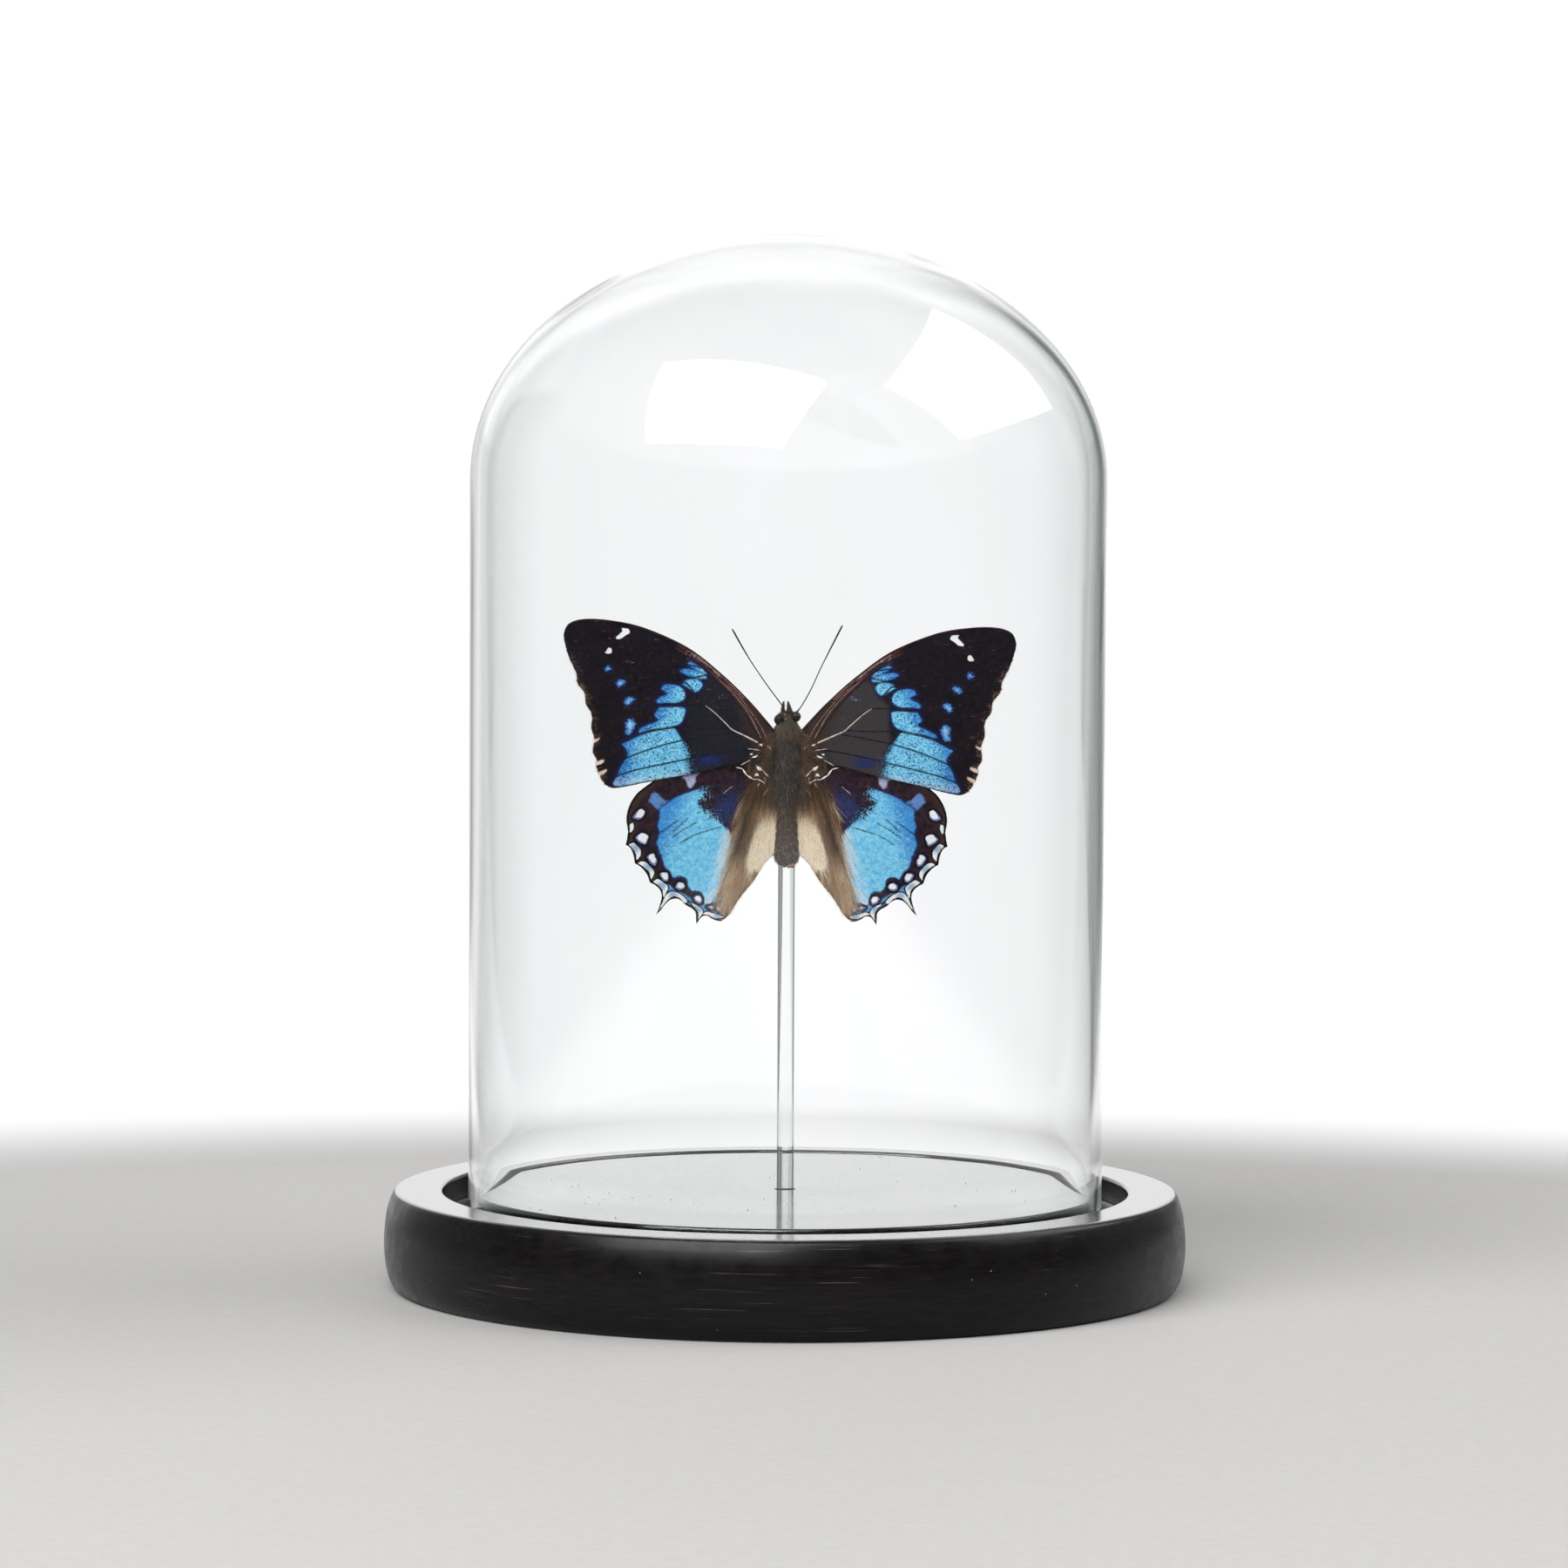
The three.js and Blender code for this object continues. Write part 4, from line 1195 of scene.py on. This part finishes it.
def inner_shades(rng, out, height, border, cream):
    """How dark and how light each hair of the hindwing's inner part is."""
    count = len(out)
    dark = clamp((height + 7.5) / 3.5) * rng.uniform(0.6, 1, count)
    # A dark band runs down just inside the border and fades below.
    band = near(border - 1.1 - out, 1.2) * clamp((height + 18) / 4)
    dark = np.maximum(dark, band * rng.uniform(0.5, 1.1, count))
    low = 0.2 * clamp((-15 - height) / 4)
    streaky = 0.5 + 0.5 * np.sin(np.arctan2(out - 2.6, 3.5 - height) * 60 + rng.normal(0, 0.7, count))
    dark = clamp(dark + (0.9 - 2 * low) * streaky**3 * (1 - cream) * rng.uniform(0.3, 1, count))
    edge = near(out - border, 0.9) * clamp((-8 - height) / 4)
    light = clamp(cream + low + 0.8 * edge * rng.uniform(0, 1.4, count) + rng.uniform(-0.7, 0.75, count))
    return dark, light * (1 - 0.8 * dark)


def inner_hairs(build, wing, rng, count):
    """The long hair over the hindwing's inner part, dark near the root and sparse over the cream patch."""
    tries = count * 5
    out = rng.uniform(1.8, 14, tries)
    height = rng.uniform(-27.5, 0.3, tries)
    border = fur_border(height)
    flat = np.stack([out, height], axis=1)
    cream = clamp(depth_inside(flat, [HINDWING_CREAM], 1.2) / 1.2 + 0.3)
    keep = (out < border + rng.normal(0, 0.7, tries)) & (rng.uniform(0, 1, tries) > 0.92 * cream)
    lean = (out - 2.6) / (3.5 - height) * 0.95 + 0.3 * clamp((-16 - height) / 8) * clamp((8 - out) / 4)
    step = np.stack([lean, -np.ones(tries)], axis=1) + rng.normal(size=flat.shape) * 0.07
    lengths = rng.uniform(1.8, 4.6, tries) * (1 - 0.6 * cream)
    tips = flat + unit(step) * lengths[:, None]
    inner_edge = np.interp(
        -tips[:, 1], [0, 10, 15.6, 17, 18.9, 22.1, 25.1, 28.4], [1.6, 1.6, 1.8, 2.5, 4.3, 6.3, 8.7, 10.8]
    )
    keep &= (tips[:, 0] > inner_edge + 0.1) & (tips[:, 1] > -28.6)
    pick = np.flatnonzero(keep)[:count]
    dark, light = inner_shades(rng, out[pick], height[pick], border[pick], cream[pick])
    widths = rng.uniform(0.05, 0.11, len(pick))
    here = wing.at(flat[pick], 0.05)
    there = wing.at(flat[pick] + step[pick], 0.12)
    hairs(build, WING_HAIR, rng, here, there - here, lengths[pick], widths, 4, strand=light, dark=dark)


def root_hairs(build, wing, rng, low, high, count=1500):
    """Brown hair at the root of a wing, running outwards from the body."""
    height = rng.uniform(low, high, count)
    out = 2.4 + np.minimum(rng.exponential(1.3, count), 4.4) * np.clip((6.2 - height) / 5, 0.1, 1)
    flat = np.stack([out, height], axis=1)
    step = np.stack([np.ones(count), 0.12 * (height - 2) - 0.45], axis=1) + rng.normal(size=flat.shape) * 0.3
    here, there = wing.at(flat, 0.05), wing.at(flat + step, 0.45)
    lengths = rng.uniform(0.6, 1.6, count)
    shades = rng.uniform(0, 0.8, count) ** 4
    dark = rng.uniform(0.6, 1, count)
    hairs(build, WING_HAIR, rng, here, there - here, lengths, 0.06, 3, 0.1, strand=shades, dark=dark)


def make_forewing(label, side, materials):
    rng = np.random.default_rng(31)
    wing = Wing(side, FOREWING_DEPTH, FOREWING_DROOP[label], 0.22)
    build = Build()
    outline = ragged_outline([FOREWING_ROOT, FOREWING_COSTA, FOREWING_MARGIN, FOREWING_HIND], rng, 0.035)
    flat, triangles, edge = wing_sheet(outline)
    add_blade(build, wing, flat, triangles, edge, forewing_values(flat, edge, side))
    add_veins(build, wing, FOREWING_VEINS, 0.12, 0.06, lift=-0.03)
    add_veins(build, wing, [FOREWING_CELL_VEIN], 0.17, 0.06, 1.0, 0.04)
    add_veins(build, wing, FOREWING_COSTAL_LINES, 0.12, 0.06, 0.7)
    add_veins(build, wing, [[(x, y - 0.05) for x, y in FOREWING_COSTA[:9]]], 0.22, 0.1, 0.12)
    add_fringe(build, wing, FOREWING_MARGIN, rng, (0.0, 0.35))
    root_hairs(build, wing, rng, -3.4, 5.6)
    build.piece("forewing_" + label + "_blade", materials, "forewing_" + label)


def make_hindwing(label, side, materials):
    rng = np.random.default_rng(32)
    wing = Wing(side, HINDWING_DEPTH, 0.0, 0.16)
    build = Build()
    outline = ragged_outline([HINDWING_COSTA, *HINDWING_TEETH, HINDWING_INNER], rng, 0.02)
    flat, triangles, edge = wing_sheet(outline)
    add_blade(build, wing, flat, triangles, edge, hindwing_values(flat, edge))
    add_veins(build, wing, HINDWING_VEINS, 0.09, 0.05, lift=-0.09)
    add_plates(build, wing, rng)
    add_fringe(build, wing, HINDWING_INNER[:6], rng, (0.1, 0.7))
    inner_hairs(build, wing, rng, 8500)
    root_hairs(build, wing, rng, -8, 0.5)
    build.piece("hindwing_" + label + "_blade", materials, "hindwing_" + label)


# ---- Body ----


def radius_at(profile, height):
    radii, heights = zip(*profile)
    return np.interp(height, heights, radii)


def body_hairs(build, profile, rng, count, reach, depth, length, lie, stand):
    """Close fur on a turned body from one height to another, lying towards the tail."""
    height = rng.uniform(*reach, count)
    turn = rng.uniform(0, 2 * math.pi, count)
    roots = polar(0.98 * radius_at(profile, height), turn, height) * (1, depth, 1) + BODY
    directions = polar(stand, turn, -lie) + rng.normal(size=(count, 3)) * 0.16
    lengths = length * rng.uniform(0.6, 1.3, count)
    # A paler streak runs down the middle of the back, which faces -Y.
    back = clamp(-np.sin(turn)) ** 6
    light = 0.9 * rng.uniform(0, 1, count) ** 5
    brown = clamp(1 - 1.3 * back + 0.5 * clamp((height - 3) / 3) + rng.normal(0, 0.15, count))
    widths = rng.uniform(0.05, 0.09, count)
    hairs(build, 1, rng, roots, directions, lengths, widths, 3, 0.15, strand=light, brown=brown)


def add_collar(build, rng, count):
    """A collar of short hair that hides the neck."""
    turn = rng.uniform(0, 2 * math.pi, count)
    level = rng.uniform(5.2, 7.8, count)
    radius = radius_at([(2.5, 5.2), (2.3, 6.6), (1.6, 7.8)], level)
    roots = polar(radius, turn, level) * (1, THORAX_DEPTH, 1) + BODY
    directions = polar(0.25, turn, -0.9) + rng.normal(size=(count, 3)) * 0.22
    shades = rng.uniform(0, 0.8, count) ** 2
    lengths = rng.uniform(0.7, 1.5, count)
    brown = rng.uniform(0.4, 1, count)
    hairs(build, 1, rng, roots, directions, lengths, 0.07, 3, 0.2, strand=shades, brown=brown)


def add_side_tufts(build, profile, rng, count):
    """Longer tufts that reach over the wing roots."""
    height = rng.uniform(-8.5, 5.5, count)
    side = rng.choice([-1, 1], count)
    out = side * radius_at(profile, height) * 0.9
    roots = np.stack([out, rng.uniform(-2.2, -0.6, count), height], axis=1) + BODY
    out = side * rng.uniform(0.5, 1.2, count)
    directions = np.stack([out, rng.uniform(-0.55, -0.1, count), rng.uniform(-1.1, -0.1, count)], axis=1)
    shades = rng.uniform(0, 0.8, count) ** 2
    lengths = rng.uniform(0.9, 2.0, count)
    brown = rng.uniform(0.5, 1, count)
    hairs(build, 1, rng, roots, directions, lengths, 0.07, 3, 0.3, strand=shades, brown=brown)


def make_thorax(fur_paint):
    build = Build()
    profile = smooth_line(THORAX_SKIN, 0.3)
    profile[:, 0] = np.maximum(profile[:, 0], 0)
    points, faces = lathe(profile, BODY_SIDES, THORAX_DEPTH)
    lumps = 1 + 0.02 * np.sin(points[:, 2] * 1.9 + points[:, 0] * 1.3)
    points[:, :2] *= lumps[:, None]
    build.add(points + BODY, faces)
    rng = np.random.default_rng(41)
    body_hairs(build, profile, rng, 9000, (-6.9, 6.2), THORAX_DEPTH, 1.2, 1.0, 0.2)
    add_collar(build, rng, 4200)
    add_side_tufts(build, profile, rng, 3000)
    materials = [skin("thorax_skin", (36, 32, 31), (56, 50, 47)), fur_paint]
    build.piece("furry_thorax", materials, "thorax")


def make_abdomen():
    """Close-set rings under short scales, widest near the tail end, which is blunt and slightly broken."""
    build = Build()
    tail = ABDOMEN_TOP - ABDOMEN_LENGTH
    profile = smooth_line(ABDOMEN_SKIN, 0.12)
    ridges = 1 - 0.03 * np.abs(np.sin((profile[:, 1] - tail) * math.pi / ABDOMEN_RING)) ** 6
    profile[:, 0] = np.maximum(profile[:, 0], 0) * ridges
    points, faces = lathe(profile, BODY_SIDES, ABDOMEN_DEPTH)
    build.add(points + BODY, faces, tip=clamp((tail + 0.5 + 0.5 * points[:, 0] - points[:, 2]) / 0.8))
    rng = np.random.default_rng(42)
    body_hairs(build, profile, rng, 4200, (tail + 0.9, -6.4), ABDOMEN_DEPTH, 0.45, 0.9, 0.3)
    body_hairs(build, profile, rng, 1600, (-11.5, -6.4), ABDOMEN_DEPTH, 1.1, 1.0, 0.22)
    for across, low, size in CLASPERS:
        place = BODY + (across, -1.3, tail + low)
        points, faces = ball(place, (size, 0.8, size * 0.9), 20, 12, 0.2, int(rng.integers(99)))
        build.add(points, faces, tip=1.0 if across > 0 else 0.2)
    # Scales rubbed up into small pale lumps.
    turn = rng.uniform(1.05, 1.95, 260) * math.pi
    height = tail + 0.4 + rng.gamma(2.0, 1.3, 260)
    places = polar(radius_at(profile, height), turn, height) * (1, ABDOMEN_DEPTH, 1) + BODY
    for place in places:
        points, faces = ball(place, rng.uniform(0.04, 0.12, 3), 7, 5, 0.3, int(rng.integers(1000)))
        build.add(points, faces, 1, strand=rng.uniform(0.1, 1) ** 1.5, brown=1.0)
    hair = fur("abdomen_fur", (44, 34, 30), (76, 60, 50), (82, 64, 52), (214, 194, 168))
    build.piece("ringed_abdomen", [abdomen_skin(), hair], "abdomen")


def add_palp(build, rng, line, widths):
    """A hairy feeler that stands up beside the face."""
    palp = smooth_line(line, 0.12)
    radii = np.interp(np.linspace(0, 1, len(palp)), [0, 0.33, 0.65, 1], widths)
    points, faces = tube(palp + HEAD, radii, 14)
    build.add(points, faces)
    count = 520
    pick = rng.integers(0, len(palp) - 3, count)
    outwards = unit(rng.normal(size=(count, 3)) * (1, 1, 0.3))
    roots = palp[pick] + outwards * radii[pick][:, None] * 0.9 + HEAD
    shades = rng.uniform(0, 0.7, count) ** 2
    lengths = rng.uniform(0.2, 0.45, count)
    hairs(build, 2, rng, roots, outwards * 0.2 + (0, 0, 1), lengths, 0.05, 2, strand=shades, brown=0.4)


def add_tongue(build):
    """The coiled tongue, tucked under the head."""
    turns = np.linspace(0, 5.2 * math.pi, 90)
    coil = 0.62 - 0.028 * turns
    tongue = np.stack([0.02 * turns - 0.15, 1.45 + coil * np.cos(turns), -0.1 + coil * np.sin(turns)], axis=1)
    points, faces = tube(tongue + HEAD, np.linspace(0.1, 0.05, len(tongue)), 8, 1.0, (1, 0, 0))
    build.add(points, faces)


def add_head_hair(build, rng):
    """Short hair everywhere but on the eyes."""
    around = unit(rng.normal(size=(3000, 3)))
    bare = np.zeros(len(around), bool)
    for across, level, size in EYES:
        bare |= np.hypot(around[:, 0] * 1.9 - across, around[:, 2] * 1.42 - 0.2 - level) < size
    around = around[~bare]
    count = len(around)
    roots = around * (1.9, 1.48, 1.42) + (0.05, 0, -0.2) + HEAD
    directions = around * 0.6 + (0, -0.1, -0.6) + rng.normal(size=around.shape) * 0.2
    shades = rng.uniform(0, 0.8, count) ** 2
    lengths = rng.uniform(0.3, 0.8, count)
    brown = rng.uniform(0.3, 1, count)
    hairs(build, 2, rng, roots, directions, lengths, 0.055, 2, strand=shades, brown=brown)


def make_head(fur_paint):
    """The head sits a little tilted, so its left eye is lower than its right one."""
    build = Build()
    points, faces = ball(HEAD + (0.05, 0, -0.2), (1.95, 1.5, 1.45), 40, 24, 0.03, 5)
    build.add(points, faces)
    for across, level, size in EYES:
        points, faces = ball(HEAD + (across, -0.5, level), (size, 1.05, 1.05 * size), 40, 26)
        build.add(points, faces, 1)
    rng = np.random.default_rng(43)
    for line, widths in PALPS:
        add_palp(build, rng, line, widths)
    # Pale balls in the fur's lightest colour: partly pale scales, partly painted glints.
    for across, depth, level, size in PAINTED_GLINT_SPOTS:
        points, faces = ball(HEAD + (across, depth, level), (size, size, size), 10, 7, 0.2, 2)
        build.add(points, faces, 2, strand=1.6)
    add_tongue(build)
    add_head_hair(build, rng)
    materials = [skin("head_skin", (34, 28, 26), (60, 48, 42)), eye_skin(), fur_paint]
    build.piece("furry_head", materials, "head")


def make_antenna(label, side, material):
    """A jointed shaft that ends in a long slender club, a little curved."""
    build = Build()
    path = smooth_line(np.array(ANTENNAE[label]) * (side, 1, 1), 0.11)
    share = np.linspace(0, 1, len(path))
    radii = np.interp(share, [0, 0.06, 0.1, 0.6, 0.82, 0.96, 1], [0.18, 0.17, 0.11, 0.1, 0.16, 0.17, 0.06])
    radii = radii * (1 + 0.09 * np.sin(np.arange(len(path)) * 2.1))
    points, faces = tube(path + BODY, radii, 12)
    build.add(points, faces)
    build.piece("antenna_" + label + "_shaft", [material], "antenna_" + label)


def make_leg(pair, label, side, materials):
    """A folded leg: thick thigh, thinner shin with spines, and a thin foot that ends in a claw."""
    build = Build()
    path = smooth_line(np.array(LEGS[pair]) * (side, 1, 1), 0.15) + BODY
    share = np.linspace(0, 1, len(path))
    radii = np.interp(share, *zip(*LEG_RADII))
    radii = radii * (1 + 0.12 * clamp(share - 0.66) / 0.34 * np.sin(share * 60))
    points, faces = tube(path, radii, 14)
    build.add(points, faces)
    rng = np.random.default_rng(51 if pair == "middle" else 52)
    count = 520
    pick = rng.integers(2, len(path) - 2, count)
    run = path[pick + 1] - path[pick]
    outwards = unit(np.cross(run, rng.normal(size=(count, 3))))
    roots = path[pick] + outwards * radii[pick][:, None] * 0.9
    lengths = rng.uniform(0.18, 0.4, count)
    shades = rng.uniform(0, 0.5, count)
    hairs(build, 1, rng, roots, outwards * 0.45 + unit(run), lengths, 0.04, 2, strand=shades)
    build.piece(pair + "_leg_" + label + "_jointed", materials, pair + "_leg_" + label)


def make_insect():
    veins, hair = wing_vein(), wing_fur()
    fore = [forewing_upper(), wing_under("forewing_under"), veins, hair]
    hind = [hindwing_upper(), wing_under("hindwing_under"), veins, hair]
    body = fur("body_fur", (40, 40, 43), (78, 78, 81), (88, 69, 55), (176, 154, 128))
    antenna = skin("antenna_skin", (26, 22, 22), (52, 44, 42), 0.45, 5.0)
    leg = [
        skin("leg_skin", (70, 54, 42), (128, 104, 82), 0.5, 4.0),
        fur("leg_fur", (80, 62, 48), (150, 126, 100), (110, 84, 64), (200, 184, 160)),
    ]
    make_thorax(body)
    make_abdomen()
    make_head(body)
    for label, side in (("left", -1), ("right", 1)):
        make_forewing(label, side, fore)
        make_hindwing(label, side, hind)
        make_antenna(label, side, antenna)
        for pair in LEGS:
            make_leg(pair, label, side, leg)


# ---- Floor, light and camera ----

# Dark uprights in the surroundings: degrees from +Y towards +X, width in degrees, depth.
UPRIGHTS = [(21, 6, 0.8), (38, 14, 0.8), (-21, 5, 0.38), (-34, 8, 0.25), (-13, 1.2, 0.2), (12.5, 1, 0.25)]
UPRIGHT_TONE = (0.10, 0.12, 0.10, 1)
CEILING_TONE = (0.45, 0.45, 0.46, 1)
# From one height of a direction to the next, the surroundings are multiplied by this much.
SKY_GAINS = [(0.085, 0.12, 1.24), (0.2, 0.5, 0.7)]
BACKDROP = (1.05, 1.05, 1.065, 1)  # behind the object, as the main view sees it
SIDE_TONE = (0.26, 0.27, 0.27, 1)
FRONT_TONE = (0.07, 0.07, 0.072, 1)
# Degrees away from +Y, and the surroundings' colour there.
AZIMUTH_STOPS = [(30, BACKDROP), (46, SIDE_TONE), (80, SIDE_TONE), (93, FRONT_TONE)]
VIEW_SPREAD = 0.134  # half the main view's width over the distance
# The camera was fitted to the photo: millimetres, then radians.
CAMERA_PLACE = (-0.573, -1103.5, 157.49)
CAMERA_PITCH = 0.0569
CAMERA_ROLL = 0.0051


def surroundings(nodes, direction):
    """Colour of the surroundings in a direction: bright behind the object, grey at the sides, dark in front.

    Soft dark uprights beside the main view draw the edges of the glass.
    """
    parts = nodes.split(direction)
    azimuth = nodes.math("MULTIPLY", nodes.math("ARCTAN2", parts["X"], parts["Y"]), 180 / math.pi)
    ramp = nodes.new("ValToRGB")
    ramp.color_ramp.interpolation = "EASE"
    for index, (degrees, colour) in enumerate(AZIMUTH_STOPS):
        stop = ramp.color_ramp.elements[index] if index < 2 else ramp.color_ramp.elements.new(0.9)
        stop.position = degrees / 180
        stop.color = colour
    turned = nodes.math("DIVIDE", nodes.math("ABSOLUTE", azimuth), 180)
    colour = nodes.feed(ramp, {0: turned})["Color"]
    shade = 0.0
    for centre, width, depth in UPRIGHTS:
        away = nodes.math("DIVIDE", nodes.math("SUBTRACT", azimuth, centre), width)
        away = nodes.math("MULTIPLY", nodes.math("MULTIPLY", away, away), -1.0)
        shade = nodes.math("ADD", nodes.math("MULTIPLY", nodes.math("EXPONENT", away), depth), shade)
    colour = nodes.mix(shade, colour, UPRIGHT_TONE)
    # Overhead, where all directions meet, one even ceiling keeps the top of the dome free of a cusp.
    overhead = nodes.math("DIVIDE", nodes.math("SUBTRACT", parts["Z"], 0.5), 0.4)
    return nodes.mix(overhead, colour, CEILING_TONE)


def floor_paper():
    """Pale paper that fades with distance into a glow that gives off the surroundings' colour."""
    paint = Paint("floor_paper", Roughness=0.8, Specular_IOR_Level=0.2)
    paint.done(paint.mix(paint.noise(paint.place(), 0.4, 3), tone(150, 149, 148), tone(158, 157, 156)))
    where = paint.coordinates("Object")
    parts = paint.split(where)
    length = paint.new("VectorMath")
    length.operation = "LENGTH"
    # It fades sooner behind the object than in front of it.
    away = paint.feed(length, {0: where})["Value"]
    reach = paint.math("ADD", away, paint.math("MULTIPLY", parts["Y"], 0.7))
    # Within the main view it fades to the plain backdrop, beside it to the rest of the surroundings.
    spread = paint.math("MULTIPLY", parts["Y"], VIEW_SPREAD)
    beside = paint.math("SUBTRACT", paint.math("ABSOLUTE", parts["X"]), spread)
    glow = paint.mix(paint.ramp(beside, 0.15, 0.19), BACKDROP, surroundings(paint, where))
    glow = paint.feed(paint.new("Emission"), {"Color": glow})[0]
    far = paint.ramp(reach, 0.34, 0.54)
    blend = paint.feed(paint.new("MixShader"), {0: far, 1: paint.shader.outputs[0], 2: glow})[0]
    paint.feed(paint.tree.nodes["Material Output"], {"Surface": blend})
    return paint.material


def make_floor():
    points, faces = lathe([(0, -0.6), (6000, -0.6), (6000, 0), (300, 0), (0, 0)], 96)
    mesh = bpy.data.meshes.new("floor")
    mesh.from_pydata((points * MM).tolist(), [], [face for group in faces for face in group])
    mesh.materials.append(floor_paper())
    made = bpy.data.objects.new("floor", mesh)
    bpy.context.scene.collection.objects.link(made)
    return made


def make_world():
    """The surroundings, with more light just above what the main view sees, for the flat tops of the base."""
    world = bpy.data.worlds.new("studio")
    bpy.context.scene.world = world
    world.use_nodes = True
    nodes = Nodes(world.node_tree)
    direction = nodes.coordinates("Generated")
    height = nodes.split(direction)["Z"]
    strength = 1.0
    for low, high, gain in SKY_GAINS:
        strength = nodes.math("MULTIPLY", nodes.ramp(height, low, high, 1.0, gain), strength)
    background = world.node_tree.nodes["Background"]
    nodes.feed(background, {"Color": surroundings(nodes, direction), "Strength": strength})


def area_light(name, direction, distance, width, height, radiance):
    lamp = bpy.data.lights.new(name, "AREA")
    lamp.shape = "RECTANGLE"
    lamp.size, lamp.size_y = width, height
    lamp.energy = radiance * math.pi * width * height
    made = bpy.data.objects.new(name, lamp)
    bpy.context.scene.collection.objects.link(made)
    back = Vector(direction).normalized()
    made.location = Vector((0, 0, 0.1)) + back * distance
    made.rotation_euler = back.to_track_quat("Z", "Y").to_euler()


def make_lights():
    area_light("softbox_right", (0.70, 0.06, 0.66), 1.5, 1.5, 1.0, 4.0)
    area_light("softbox_left", (-0.33, -0.62, 0.70), 1.6, 1.5, 1.3, 8.5)


def make_camera():
    camera = bpy.data.cameras.new("camera")
    camera.lens = 135
    camera.sensor_width = 36
    camera.clip_start, camera.clip_end = 0.05, 30
    made = bpy.data.objects.new("camera", camera)
    bpy.context.scene.collection.objects.link(made)
    made.matrix_world = (
        Matrix.Translation(Vector(CAMERA_PLACE) * MM)
        @ Matrix.Rotation(math.pi / 2 - CAMERA_PITCH, 4, "X")
        @ Matrix.Rotation(CAMERA_ROLL, 4, "Z")
    )
    bpy.context.scene.camera = made


make_base()
make_dome()
make_rod()
make_glue()
make_insect()
make_floor()
make_world()
make_lights()
make_camera()
bpy.context.scene.view_settings.view_transform = "Standard"
